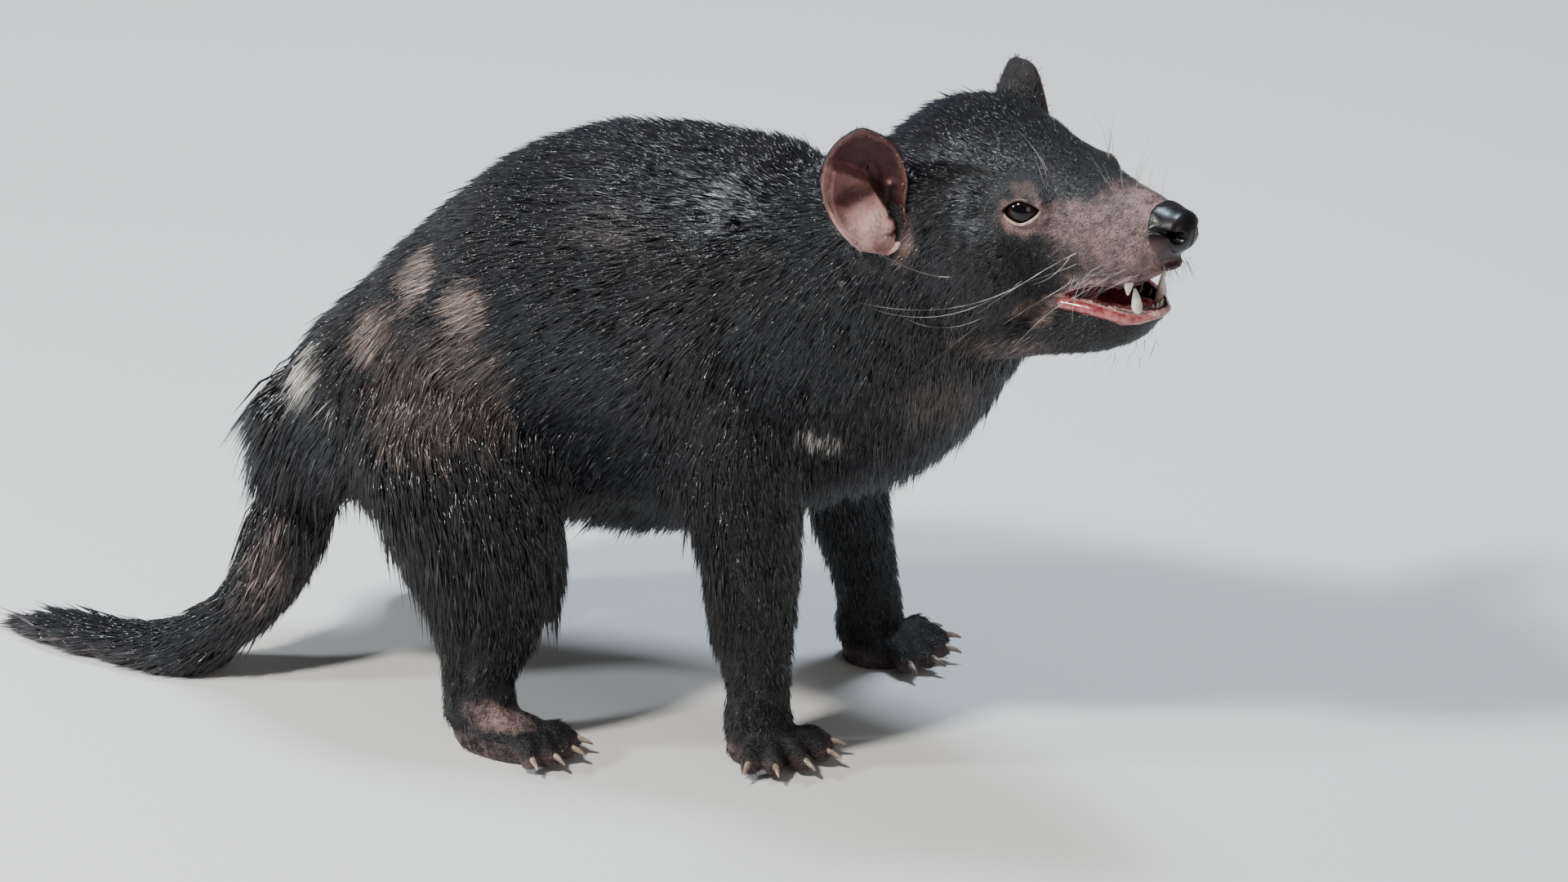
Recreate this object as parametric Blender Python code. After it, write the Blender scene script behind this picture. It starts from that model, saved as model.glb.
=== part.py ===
"""Tasmanian devil, life size, standing four-square with its head turned to its right, jaws part open.

Metres, +X is the way the chest faces, +Y the animal's left, +Z up, and the feet stand on z = 0.
The flesh is one form: tubes lofted through a few measured stations, fused by a fine remesh and
thinned. Thin flat cuts then part it into the pieces a person would name. Lids, nostrils, teeth,
claws and the locks of the long coat are added to those pieces afterwards, so that they keep
crisp edges.
"""

import math
import random

import bmesh
import bpy
import numpy as np
from mathutils import Matrix, Vector
from mathutils.bvhtree import BVHTree

# Overall sizes.
GAP = 0.0003            # between neighbouring pieces
FLESH_VOXEL = 0.0018
FACE_VOXEL = 0.0015
FACE_SMOOTHING = 4
LIP_SMOOTHING = 2
BODY_SMOOTHING = 30
TUBE_STEP = 0.006
TUBE_SIDES = 40

# The head's own frame: x towards the nose, y to the left, z up.
HEAD_PLACE = (0.1925, -0.0135, 0.280)
HEAD_TURN = math.radians(-17)

# Eyes.
EYE_RADIUS = 0.0085
EYE_PLACE = (0.0500, 0.0285, 0.0078)      # the left one, in the head's frame
EYE_LOOK = (0.36, 0.90, 0.16)             # the way the lids open
LID_THICKNESS = 0.0017
LID_OPENING = (0.0082, 0.0054)            # half length, half height

# Ears: a shallow cup, given by its rim and how deep it is.
EAR_HALF_HEIGHT = 0.0360
EAR_HALF_WIDTH = 0.0190
EAR_DEPTH = 0.0150
EAR_WALL = 0.0022
EARS = {   # centre of the rim, the way the cup faces, the way its top points
    "right": ((-0.0125, -0.0640, 0.0090), (0.80, -0.60, -0.05), (-0.04, -0.17, 0.98)),
    "left": ((-0.0110, 0.0600, 0.0030), (0.56, 0.82, 0.08), (-0.16, 0.20, 0.95)),
}

# Claws.
CLAW_LENGTH = 0.0095
CLAW_RADIUS = 0.0019
# Teeth of the left side, in the head's frame: root, aim, bend, length, radius, and for a row of three
# the step from one root to the next.
UPPER_TEETH = (
    ((0.0985, 0.0125, -0.0160), (0.10, 0.10, -1), (-0.05, 0, 0), 0.0120, 0.0030, None),
    ((0.1075, 0.0016, -0.0125), (0.15, 0, -1), (0, 0, 0), 0.0072, 0.0014, (-0.0012, 0.0028, 0)),
    ((0.0900, 0.0165, -0.0190), (0, 0, -1), (0, 0, 0), 0.0090, 0.0030, (-0.0075, 0.0022, -0.0015)),
)
LOWER_TEETH = (
    ((0.1010, 0.0100, -0.0420), (0.05, 0.15, 1), (-0.08, 0, 0), 0.0150, 0.0030, None),
    ((0.1075, 0.0014, -0.0400), (0.20, 0, 1), (0, 0, 0), 0.0072, 0.0012, (-0.0010, 0.0022, 0)),
    ((0.0900, 0.0175, -0.0430), (0, 0, 1), (0, 0, 0), 0.0080, 0.0028, (-0.0075, 0.0026, 0)),
)

# Trunk stations from rump to chest: x, y, top, bottom, half width.
TRUNK = (
    (-0.146, -0.020, 0.150, 0.086, 0.032),
    (-0.128, -0.014, 0.176, 0.078, 0.052),
    (-0.095, -0.006, 0.215, 0.079, 0.068),
    (-0.050, 0.003, 0.255, 0.085, 0.077),
    (0.000, 0.007, 0.275, 0.090, 0.081),
    (0.050, 0.006, 0.279, 0.090, 0.081),
    (0.095, 0.002, 0.276, 0.096, 0.077),
    (0.122, -0.003, 0.266, 0.115, 0.064),
)
TRUNK_BELLY = 0.46      # share of the height below the widest line
# Neck stations from shoulder to skull: x, y, z, half width, up, down.
NECK = (
    (0.085, 0.003, 0.195, 0.072, 0.074, 0.082),
    (0.125, -0.002, 0.209, 0.070, 0.068, 0.083),
    (0.160, -0.008, 0.233, 0.064, 0.057, 0.072),
    (0.185, -0.014, 0.256, 0.058, 0.045, 0.059),
)
# Skull and upper muzzle, in the head's frame: x, top, bottom, half width.
SKULL = (
    (-0.046, 0.010, -0.050, 0.044),
    (-0.025, 0.033, -0.063, 0.056),
    (0.000, 0.041, -0.070, 0.059),
    (0.025, 0.0365, -0.068, 0.052),
    (0.045, 0.0310, -0.061, 0.0415),
    (0.062, 0.0262, -0.050, 0.0330),
    (0.076, 0.0218, -0.042, 0.0282),
    (0.088, 0.0180, -0.034, 0.0245),
    (0.100, 0.0165, -0.029, 0.0195),
    (0.109, 0.0160, -0.020, 0.0155),
    (0.116, 0.0140, -0.0085, 0.0110),
)
# Lower jaw, in the head's frame: x, top, bottom, half width.
JAW = (
    (0.030, -0.045, -0.078, 0.040),
    (0.050, -0.038, -0.072, 0.037),
    (0.070, -0.0300, -0.0665, 0.0310),
    (0.085, -0.0300, -0.0615, 0.0235),
    (0.095, -0.0300, -0.0560, 0.0165),
    (0.103, -0.0300, -0.0470, 0.0095),
)
# Edges of the open mouth in side view, from its corner forward: x, upper lip, lower lip.
GAPE = (
    (0.066, -0.0325, -0.0340),
    (0.072, -0.0270, -0.0385),
    (0.088, -0.0200, -0.0420),
    (0.101, -0.0170, -0.0400),
    (0.116, -0.0130, -0.0360),
    (0.150, -0.0130, -0.0360),
)

LIP_RADIUS = 0.0017
UPPER_LIP_FRONT = (0.1140, -0.0160)      # x, z
LOWER_LIP_FRONT = (0.1075, -0.0350)
# The hollow of the mouth, the tongue and one nostril, as tube rows in the head's frame.
MOUTH_HALF_WIDTH = 0.06
MOUTH_HOLLOW = (
    (0.046, 0, -0.034, 0.010, 0.006, 0.008),
    (0.062, 0, -0.032, 0.018, 0.010, 0.012),
    (0.080, 0, -0.029, 0.017, 0.013, 0.016),
    (0.096, 0, -0.028, 0.011, 0.012, 0.013),
    (0.103, 0, -0.027, 0.007, 0.009, 0.010),
)
TONGUE = (
    (0.058, 0, -0.0400, 0.0110, 0.0040, 0.0030),
    (0.072, 0, -0.0410, 0.0125, 0.0045, 0.0030),
    (0.086, 0, -0.0405, 0.0110, 0.0040, 0.0030),
    (0.096, 0, -0.0385, 0.0070, 0.0025, 0.0020),
)
NOSTRIL = (
    (0.1290, 0.0060, 0.0030, 0.0030, 0.0026, 0.0030),
    (0.1180, 0.0078, 0.0030, 0.0030, 0.0026, 0.0030),
    (0.1130, 0.0066, 0.0034, 0.0016, 0.0014, 0.0016),
)
# Soft swellings of the head, left side: place, half sizes.
SWELLINGS = {
    "brow": ((0.050, 0.0250, 0.0095), (0.013, 0.010, 0.0095)),
    "cheek": ((0.020, 0.036, -0.024), (0.036, 0.022, 0.034)),
    "whisker_pad": ((0.094, 0.0140, -0.0080), (0.015, 0.0090, 0.0105)),
}

# Limbs from the top down: x, y, z, half width, forward, back.
FORELEG_RIGHT = (
    (0.082, -0.044, 0.185, 0.030, 0.043, 0.040),
    (0.092, -0.054, 0.140, 0.027, 0.034, 0.032),
    (0.099, -0.059, 0.100, 0.023, 0.026, 0.026),
    (0.102, -0.061, 0.062, 0.0185, 0.021, 0.022),
    (0.104, -0.061, 0.032, 0.0150, 0.016, 0.017),
    (0.104, -0.060, 0.016, 0.0155, 0.016, 0.018),
)
FORELEG_LEFT = (
    (0.084, 0.044, 0.185, 0.028, 0.040, 0.038),
    (0.094, 0.055, 0.140, 0.025, 0.031, 0.029),
    (0.101, 0.062, 0.100, 0.021, 0.023, 0.023),
    (0.106, 0.067, 0.062, 0.0175, 0.019, 0.020),
    (0.111, 0.070, 0.032, 0.0150, 0.016, 0.017),
    (0.112, 0.070, 0.016, 0.0155, 0.016, 0.018),
)
HINDLEG_RIGHT = (
    (-0.070, -0.036, 0.168, 0.028, 0.046, 0.042),
    (-0.046, -0.056, 0.130, 0.034, 0.057, 0.050),
    (-0.028, -0.070, 0.090, 0.030, 0.042, 0.038),
    (-0.023, -0.078, 0.056, 0.023, 0.028, 0.027),
    (-0.025, -0.084, 0.030, 0.017, 0.018, 0.019),
    (-0.024, -0.087, 0.016, 0.016, 0.018, 0.018),
)
HINDLEG_LEFT = (
    (-0.078, 0.032, 0.168, 0.028, 0.044, 0.040),
    (-0.072, 0.049, 0.130, 0.034, 0.055, 0.044),
    (-0.082, 0.058, 0.090, 0.029, 0.040, 0.034),
    (-0.096, 0.062, 0.056, 0.021, 0.025, 0.023),
    (-0.104, 0.064, 0.030, 0.017, 0.018, 0.018),
    (-0.104, 0.064, 0.016, 0.016, 0.018, 0.017),
)
# Tail from its root to its tip: x, y, z, radius.
TAIL = (
    (-0.118, -0.018, 0.135, 0.026),
    (-0.134, -0.026, 0.092, 0.023),
    (-0.143, -0.038, 0.058, 0.020),
    (-0.160, -0.049, 0.031, 0.0165),
    (-0.186, -0.053, 0.0145, 0.0140),
    (-0.218, -0.050, 0.0095, 0.0105),
    (-0.246, -0.043, 0.0060, 0.0098),
    (-0.268, -0.037, 0.0040, 0.0030),
)

# Paws: place of the palm or sole, heading, and each toe's spread and length.
FOREPAW = {"length": 0.018, "width": 0.0175, "height": 0.015, "toe": 0.0052, "reach": 0.0205,
           "spread": (-52, -25, 0, 25, 52), "lengths": (0.74, 0.95, 1.0, 0.95, 0.74)}
HINDPAW = {"length": 0.029, "width": 0.0165, "height": 0.014, "toe": 0.0055, "reach": 0.0200,
           "spread": (-30, -10, 10, 30), "lengths": (0.88, 1.0, 1.0, 0.85)}
PAWS = {
    "forepaw_right": (FOREPAW, (0.106, -0.059), -33),
    "forepaw_left": (FOREPAW, (0.116, 0.071), 8),
    "hindpaw_right": (HINDPAW, (-0.010, -0.092), -20),
    "hindpaw_left": (HINDPAW, (-0.086, 0.067), 10),
}

# Colours of the coat, bare skin, horn and eye.
COAT = ((0.012, 0.010, 0.010), 0.55)
SKIN = ((0.30, 0.13, 0.11), 0.50)
NOSE = ((0.008, 0.007, 0.008), 0.20)
WET = ((0.42, 0.06, 0.06), 0.25)
EYE = ((0.012, 0.006, 0.004), 0.08)

# Triangles kept by the flesh before it is cut apart.
FACE_AND_PAWS_TRIANGLES = 3400
BODY_TRIANGLES = 1500
PAW_REACH = 0.050       # how far from its middle a paw keeps its finer triangles
PAW_TOP = 0.024

# The boxes that part the flesh: centre, half sizes and pitch, those of the head in its own frame.
HEAD_CUTS = {
    "nose": ((0.1296, 0, 0.0100), (0.022, 0.05, 0.045), -19),
    "lower_jaw": ((0.0941, 0, -0.0699), (0.035, 0.07, 0.040), -8.6),
    "head": ((0.0999, 0, 0.0261), (0.110, 0.12, 0.160), -24.8),
}
TAIL_CUT = ((-0.196, -0.040, 0.047), (0.105, 0.060, 0.060), 20.5)
NECK_CUT = ((0.2505, -0.010, 0.265), (0.150, 0.150, 0.200), -28)
PAW_CUT_HEIGHT = 0.026
PAW_CUT_SIZES = (0.075, 0.045, 0.05)
# The legs are parted from the trunk by a slanting plane through the groin, and by its back and front.
LEG_CUTS = {"foreleg_right": (0.062, 0.140), "foreleg_left": (0.066, 0.150),
            "hindleg_right": (-0.116, 0.026), "hindleg_left": (-0.128, -0.014)}
LEG_CUT_TILT = 53
LEG_CUT_PLACE = (0.036, 0.0805)      # distance from the middle, height
LEG_CUT_WIDTH = 0.090
LEG_CUT_DEPTH = 0.10

# Locks of the long coat. Each row of them starts and ends outside the skin, and finds its roots on it.
LOCK_SEED = 11
LOCK_SINK = 0.0060          # of the root below the skin
LOCK_THICKNESS = 0.28       # of the half width
LOCK_LIFT = 0.22            # how far a lock leans off the skin
LOCK_DROOP = 0.36           # how far its tip bends down
LOCK_SHAPE = ((0.0, 1.0), (0.42, 0.98), (0.78, 0.62))    # share of the length, share of the width
FRINGES = (   # piece, start, end, the way to the skin, the way it lies, locks, length, half width
    ("neck", (0.224, -0.048, 0.180), (0.170, -0.044, 0.124), (-0.65, 0.15, 0.76), (-0.35, -0.1, -0.95),
     6, 0.022, 0.0092),
    ("neck", (0.228, -0.014, 0.180), (0.172, -0.010, 0.122), (-0.65, 0, 0.76), (-0.30, 0, -0.95),
     6, 0.024, 0.0092),
    ("neck", (0.220, 0.024, 0.180), (0.168, 0.028, 0.124), (-0.65, 0, 0.76), (-0.35, 0.1, -0.95),
     5, 0.022, 0.0092),
    ("torso", (0.146, -0.018, 0.095), (0.118, -0.018, 0.078), (-0.5, 0, 0.87), (-0.4, 0, -0.92),
     3, 0.024, 0.0094),
    ("torso", (0.146, 0.014, 0.095), (0.118, 0.014, 0.078), (-0.5, 0, 0.87), (-0.4, 0, -0.92),
     3, 0.024, 0.0094),
    ("torso", (0.060, -0.052, 0.070), (0.030, -0.052, 0.070), (0, 0, 1), (-0.38, -0.10, -0.92),
     5, 0.027, 0.0094),
    ("torso", (0.062, -0.020, 0.060), (-0.022, -0.020, 0.060), (0, 0, 1), (-0.42, 0, -0.90),
     8, 0.026, 0.0098),
    ("torso", (0.062, 0.014, 0.060), (-0.026, 0.014, 0.060), (0, 0, 1), (-0.42, 0, -0.90),
     8, 0.026, 0.0098),
    ("torso", (0.058, 0.048, 0.070), (-0.004, 0.048, 0.070), (0, 0, 1), (-0.38, 0.10, -0.92),
     6, 0.027, 0.0094),
    ("torso", (-0.190, -0.046, 0.124), (-0.190, 0.010, 0.124), (1, 0, 0), (-0.50, 0, -0.86),
     4, 0.026, 0.0098),
    ("torso", (-0.190, -0.036, 0.146), (-0.190, 0.004, 0.146), (1, 0, 0), (-0.55, 0, -0.83),
     3, 0.026, 0.0098),
    ("foreleg_right", (0.040, -0.058, 0.104), (0.052, -0.060, 0.062), (1, 0, 0), (-0.42, 0, -0.90),
     3, 0.018, 0.0072),
    ("foreleg_left", (0.040, 0.061, 0.104), (0.056, 0.067, 0.062), (1, 0, 0), (-0.42, 0, -0.90),
     3, 0.018, 0.0072),
    ("hindleg_right", (-0.120, -0.096, 0.112), (-0.078, -0.104, 0.060), (0.88, 0.47, 0),
     (-0.45, -0.1, -0.88), 4, 0.026, 0.0094),
    ("hindleg_right", (-0.130, -0.050, 0.100), (-0.090, -0.070, 0.056), (1, 0, 0), (-0.45, 0, -0.88),
     4, 0.026, 0.0094),
    ("hindleg_left", (-0.160, 0.092, 0.112), (-0.160, 0.088, 0.060), (0.88, -0.47, 0),
     (-0.45, 0.1, -0.88), 4, 0.026, 0.0094),
    ("hindleg_left", (-0.170, 0.052, 0.100), (-0.165, 0.058, 0.056), (1, 0, 0), (-0.45, 0, -0.88),
     4, 0.026, 0.0094),
)
HEMS = (      # piece, middle, height, locks round it, length, half width
    ("hindleg_right", (-0.024, -0.081), 0.048, 6, 0.018, 0.0076),
    ("hindleg_left", (-0.100, 0.063), 0.048, 6, 0.018, 0.0076),
)
BRUSH = {"locks": 15, "from": 0.22, "to": 0.93, "length": 0.030, "width": 0.0078}


def material(name, finish):
    """A plain finish: colour and roughness."""
    colour, roughness = finish
    made = bpy.data.materials.new(name)
    made.use_nodes = True
    shader = made.node_tree.nodes["Principled BSDF"]
    shader.inputs["Base Color"].default_value = (*colour, 1)
    shader.inputs["Roughness"].default_value = roughness
    shader.inputs["Metallic"].default_value = 0
    return made


def add_mesh(name, points, faces):
    """A mesh object in the scene from points and faces."""
    mesh = bpy.data.meshes.new(name)
    mesh.from_pydata([tuple(p) for p in points], [], faces)
    mesh.update()
    made = bpy.data.objects.new(name, mesh)
    bpy.context.scene.collection.objects.link(made)
    return made


def drop(made):
    """Removes an object with its mesh."""
    mesh = made.data
    bpy.data.objects.remove(made)
    bpy.data.meshes.remove(mesh)


def settle(made):
    """Makes what the modifiers give the object's own mesh."""
    graph = bpy.context.evaluated_depsgraph_get()
    mesh = bpy.data.meshes.new_from_object(made.evaluated_get(graph))
    made.modifiers.clear()
    old = made.data
    made.data = mesh
    bpy.data.meshes.remove(old)
    return made


def boolean(made, other, operation):
    """Joins, cuts or keeps what is shared with another closed object."""
    step = made.modifiers.new(operation, "BOOLEAN")
    step.operation = operation
    step.object = other
    step.solver = "MANIFOLD"
    return settle(made)


def smooth_rows(rows, step):
    """Rows read at an even spacing along a smooth curve through the given rows."""
    rows = np.array(rows, float)
    along = np.concatenate(([0], np.cumsum(np.linalg.norm(np.diff(rows[:, :3], axis=0), axis=1))))
    slopes = np.gradient(rows, along, axis=0)
    places = np.linspace(0, along[-1], max(3, int(along[-1] / step) + 1))
    index = np.clip(np.searchsorted(along, places, side="right") - 1, 0, len(rows) - 2)
    span = (along[index + 1] - along[index])[:, None]
    t = (places[:, None] - along[index][:, None]) / span
    start, end = rows[index], rows[index + 1]
    return (start * (2 * t**3 - 3 * t**2 + 1) + end * (3 * t**2 - 2 * t**3)
            + slopes[index] * span * (t**3 - 2 * t**2 + t) + slopes[index + 1] * span * (t**3 - t**2))


def tube(name, rows, up, caps, squareness=2.2, sides=TUBE_SIDES, step=TUBE_STEP, upright=False,
         cap_rings=4):
    """A closed tube of superelliptic rings. Rows are centre x, y, z, half width, up, down.

    Rings stand square to the path, or upright where the rows are a side view's top and bottom.
    """
    rows = smooth_rows(rows, step)
    centres = rows[:, :3]
    tangents = np.gradient(centres, axis=0)
    tangents /= np.linalg.norm(tangents, axis=1)[:, None]
    if upright:
        tangents[:, 2] = 0
    across = np.cross(np.array(up, float), tangents)
    across /= np.linalg.norm(across, axis=1)[:, None]
    rise = np.cross(tangents, across)
    angles = np.arange(sides) * 2 * math.pi / sides
    cos, sin = np.cos(angles), np.sin(angles)
    wide = np.sign(cos) * np.abs(cos) ** (2 / squareness)
    tall = np.sign(sin) * np.abs(sin) ** (2 / squareness)

    def ring(index, scale, shift):
        height = np.where(tall > 0, rows[index, 4], rows[index, 5]) * tall
        return (centres[index] + tangents[index] * shift
                + scale * (np.outer(wide * rows[index, 3], across[index]) + np.outer(height, rise[index])))

    turns = [math.pi / 2 * k / (cap_rings + 1) for k in range(1, cap_rings + 1)]
    rings = [ring(0, math.cos(a), -caps[0] * math.sin(a)) for a in reversed(turns)]
    rings += [ring(k, 1.0, 0.0) for k in range(len(rows))]
    rings += [ring(-1, math.cos(a), caps[1] * math.sin(a)) for a in turns]
    points = np.concatenate(rings)
    first = centres[0] - tangents[0] * caps[0]
    last = centres[-1] + tangents[-1] * caps[1]
    points = np.vstack((points, first, last))
    faces = []
    for k in range(len(rings) - 1):
        for j in range(sides):
            a, b = k * sides + j, k * sides + (j + 1) % sides
            faces.append((a, b, b + sides, a + sides))
    low, high = len(points) - 2, len(points) - 1
    top = (len(rings) - 1) * sides
    faces += [(low, (j + 1) % sides, j) for j in range(sides)]
    faces += [(high, top + j, top + (j + 1) % sides) for j in range(sides)]
    return add_mesh(name, points, faces)


def ellipsoid(name, place, sizes, turn=None, segments=24):
    """A closed ellipsoid at a place, with half sizes and an optional rotation."""
    angles = np.arange(segments) * 2 * math.pi / segments
    heights = np.arange(1, segments // 2) * math.pi / (segments // 2)
    rings = [np.stack((np.sin(h) * np.cos(angles), np.sin(h) * np.sin(angles),
                       np.full(segments, np.cos(h))), axis=1) for h in heights]
    points = np.concatenate(rings + [np.array([[0, 0, 1], [0, 0, -1]])]) * np.array(sizes)
    faces = []
    for k in range(len(rings) - 1):
        for j in range(segments):
            a, b = k * segments + j, k * segments + (j + 1) % segments
            faces.append((a, a + segments, b + segments, b))
    north, south = len(points) - 2, len(points) - 1
    last = (len(rings) - 1) * segments
    faces += [(north, j, (j + 1) % segments) for j in range(segments)]
    faces += [(south, last + (j + 1) % segments, last + j) for j in range(segments)]
    made = add_mesh(name, points, faces)
    matrix = Matrix.Translation(Vector(place)) @ (turn.to_4x4() if turn else Matrix())
    made.data.transform(matrix)
    return made


def head_matrix():
    """From the head's frame to the model's."""
    return Matrix.Translation(Vector(HEAD_PLACE)) @ Matrix.Rotation(HEAD_TURN, 4, "Z")


def in_head(made):
    """Takes an object drawn in the head's frame into the model's."""
    made.data.transform(head_matrix())
    return made


def axes(forward, up):
    """A rotation whose x points forward and whose z is as near to up as it can be."""
    x = Vector(forward).normalized()
    y = Vector(up).cross(x).normalized()
    z = x.cross(y)
    return Matrix((x, y, z)).transposed()


def slab(name, centre, sizes, turn):
    """A box with a centre, half sizes and a rotation, used to cut with."""
    sx, sy, sz = sizes
    corners = [(i * sx, j * sy, k * sz) for i in (-1, 1) for j in (-1, 1) for k in (-1, 1)]
    faces = [(0, 1, 3, 2), (4, 6, 7, 5), (0, 4, 5, 1), (2, 3, 7, 6), (0, 2, 6, 4), (1, 5, 7, 3)]
    made = add_mesh(name, corners, faces)
    made.data.transform(Matrix.Translation(Vector(centre)) @ turn.to_4x4())
    return made


def profile_rows(stations):
    """Tube rows from head stations of x, top, bottom and half width."""
    return [(x, 0, (top + bottom) / 2, wide, (top - bottom) / 2, (top - bottom) / 2)
            for x, top, bottom, wide in stations]


def trunk_rows():
    """Tube rows from trunk stations of x, y, top, bottom and half width."""
    return [(x, y, bottom + TRUNK_BELLY * (top - bottom), wide, (1 - TRUNK_BELLY) * (top - bottom),
             TRUNK_BELLY * (top - bottom)) for x, y, top, bottom, wide in TRUNK]


def paw_forms(name):
    """The palm or sole and its toes, in place, as closed forms."""
    paw, (x, y), heading = PAWS[name]
    place = Matrix.Translation((x, y, 0)) @ Matrix.Rotation(math.radians(heading), 4, "Z")
    sole = ellipsoid(name + "_sole", (0, 0, 0.006), (paw["length"], paw["width"], paw["height"]))
    sole.data.transform(place)
    forms = [sole]
    for angle, share in zip(paw["spread"], paw["lengths"]):
        toe = tube(name + "_toe", toe_rows(paw, angle, share), (0, 0, 1), (0.004, 0.0045), sides=14,
                   step=0.003)
        toe.data.transform(place)
        forms.append(toe)
    return forms


def toe_path(paw, angle, share):
    """Places along one toe, from inside the sole out to the claw's root."""
    out = Vector((math.cos(math.radians(angle)), math.sin(math.radians(angle)), 0))
    root = Vector((paw["length"] * 0.45, paw["width"] * 0.62 * math.sin(math.radians(angle * 1.25)), 0.008))
    reach = paw["reach"] * share
    return [root, root + out * reach * 0.55 + Vector((0, 0, 0.0030)),
            root + out * reach + Vector((0, 0, -0.0020))]


def toe_rows(paw, angle, share):
    """Tube rows of one toe."""
    radius = paw["toe"]
    return [(*place, radius * k, radius * k, radius * k)
            for place, k in zip(toe_path(paw, angle, share), (1.0, 1.0, 0.85))]


def flesh_forms():
    """Every closed form that the flesh is fused from."""
    forms = [
        tube("trunk", trunk_rows(), (0, 0, 1), (0.014, 0.040), 2.2, upright=True),
        tube("neck", NECK, (0, 0, 1), (0.02, 0.03), 2.2),
        in_head(tube("skull", profile_rows(SKULL), (0, 0, 1), (0.03, 0.008), 2.08, upright=True)),
        in_head(tube("jaw", profile_rows(JAW), (0, 0, 1), (0.01, 0.004), 2.3, upright=True)),
    ]
    for name, ((x, y, z), sizes) in SWELLINGS.items():
        forms += [in_head(ellipsoid(name, (x, side * y, z), sizes)) for side in (1, -1)]
    for rows in (FORELEG_RIGHT, FORELEG_LEFT, HINDLEG_RIGHT, HINDLEG_LEFT):
        forms.append(tube("leg", rows, (1, 0, 0), (0.03, 0.012), 2.1))
    tail = [(x, y, z, radius, radius, radius) for x, y, z, radius in TAIL]
    forms.append(tube("tail_form", tail, (0, 1, 0), (0.01, 0.003), 2.0, sides=28))
    for name in PAWS:
        forms += paw_forms(name)
    return forms


def fuse_by_remesh(name, forms, voxel):
    """One closed surface round overlapping closed forms."""
    points, faces = [], []
    for form in forms:
        offset = len(points)
        points += [tuple(v.co) for v in form.data.vertices]
        faces += [tuple(offset + i for i in p.vertices) for p in form.data.polygons]
        drop(form)
    whole = add_mesh(name, points, faces)
    remesh = whole.modifiers.new("fuse", "REMESH")
    remesh.mode = "VOXEL"
    remesh.voxel_size = voxel
    return settle(whole)


def point_places(made):
    """The places of an object's points as an array."""
    places = np.empty(len(made.data.vertices) * 3)
    made.data.vertices.foreach_get("co", places)
    return places.reshape(-1, 3)


def face_share(places):
    """How far each place lies inside the face, by the head's own x and height: over 1 well inside."""
    local = (places - np.array(HEAD_PLACE)) @ np.array(head_matrix().to_3x3())
    return (local[:, 0] + 0.5 * local[:, 2]) / 0.03


def body_weights(made):
    """1 on the trunk, neck and upper limbs, falling to 0 on the face and the feet."""
    places = point_places(made)
    feet = np.clip((0.045 - places[:, 2]) / 0.02, 0, 1)
    return 1 - np.maximum(np.clip(face_share(places), 0, 1), feet)


def soften(made, weights, rounds):
    """Moves each point part of the way to the mean of its neighbours, by its weight."""
    mesh = made.data
    places = point_places(made)
    edges = np.empty(len(mesh.edges) * 2, np.int32)
    mesh.edges.foreach_get("vertices", edges)
    a, b = edges.reshape(-1, 2).T
    count = np.bincount(a, minlength=len(places)) + np.bincount(b, minlength=len(places))
    share = (0.5 * weights / np.maximum(count, 1))[:, None]
    for _ in range(rounds):
        total = np.zeros_like(places)
        for axis in range(3):
            total[:, axis] = (np.bincount(a, places[b, axis], len(places))
                              + np.bincount(b, places[a, axis], len(places)))
        places = places + share * (total - count[:, None] * places)
    mesh.vertices.foreach_set("co", places.ravel())
    mesh.update()


def mouth_cutter():
    """The open mouth: a wedge through both lips, and the hollow behind them."""
    upper = [(x, top) for x, top, _ in GAPE]
    lower = [(x, low) for x, _, low in reversed(GAPE)]
    outline = upper + lower
    count = len(outline)
    points = [(x, side * MOUTH_HALF_WIDTH, z) for side in (-1, 1) for x, z in outline]
    faces = [tuple(range(count)), tuple(reversed(range(count, 2 * count)))]
    faces += [(j, j + count, (j + 1) % count + count, (j + 1) % count) for j in range(count)]
    wedge = add_mesh("gape", points, faces)
    hollow = tube("hollow", MOUTH_HOLLOW, (0, 0, 1), (0.006, 0.004), 2.4, sides=24)
    boolean(wedge, hollow, "UNION")
    drop(hollow)
    return in_head(wedge)


def width_at(stations, x, z):
    """Half width of a head form where its surface passes a given x and z."""
    rows = smooth_rows([(s[0], 0, 0, *s[1:]) for s in stations], TUBE_STEP / 3)
    top, bottom, wide = (np.interp(x, rows[:, 0], rows[:, k]) for k in (3, 4, 5))
    height = abs(z - (top + bottom) / 2) / ((top - bottom) / 2)
    return wide * max(0.0, 1 - height**2.2) ** (1 / 2.2)


def lip(stations, edge, front, radius):
    """A rounded roll along one edge of the mouth, from corner to corner round the front."""
    side = []
    for x in np.linspace(GAPE[1][0] - 0.002, front[0] - 0.006, 7):
        z = float(np.interp(x, [g[0] for g in GAPE], [g[edge] for g in GAPE]))
        side.append((x, width_at(stations, x, z) - 0.6 * radius, z))
    path = side + [(front[0], 0, front[1])] + [(x, -y, z) for x, y, z in reversed(side)]
    rows = [(*place, radius, radius, radius) for place in path]
    return in_head(tube("lip", rows, (0, 0, 1), (radius, radius), 2.0, sides=10, step=0.004))


def cut_out(whole, name, region_of):
    """Takes the part of the flesh inside a region, and leaves a thin gap round it."""
    region = region_of(0.0)
    piece = whole.copy()
    piece.data = whole.data.copy()
    piece.name = name
    bpy.context.scene.collection.objects.link(piece)
    boolean(piece, region, "INTERSECT")
    drop(region)
    region = region_of(GAP)
    boolean(whole, region, "DIFFERENCE")
    drop(region)
    return piece


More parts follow.
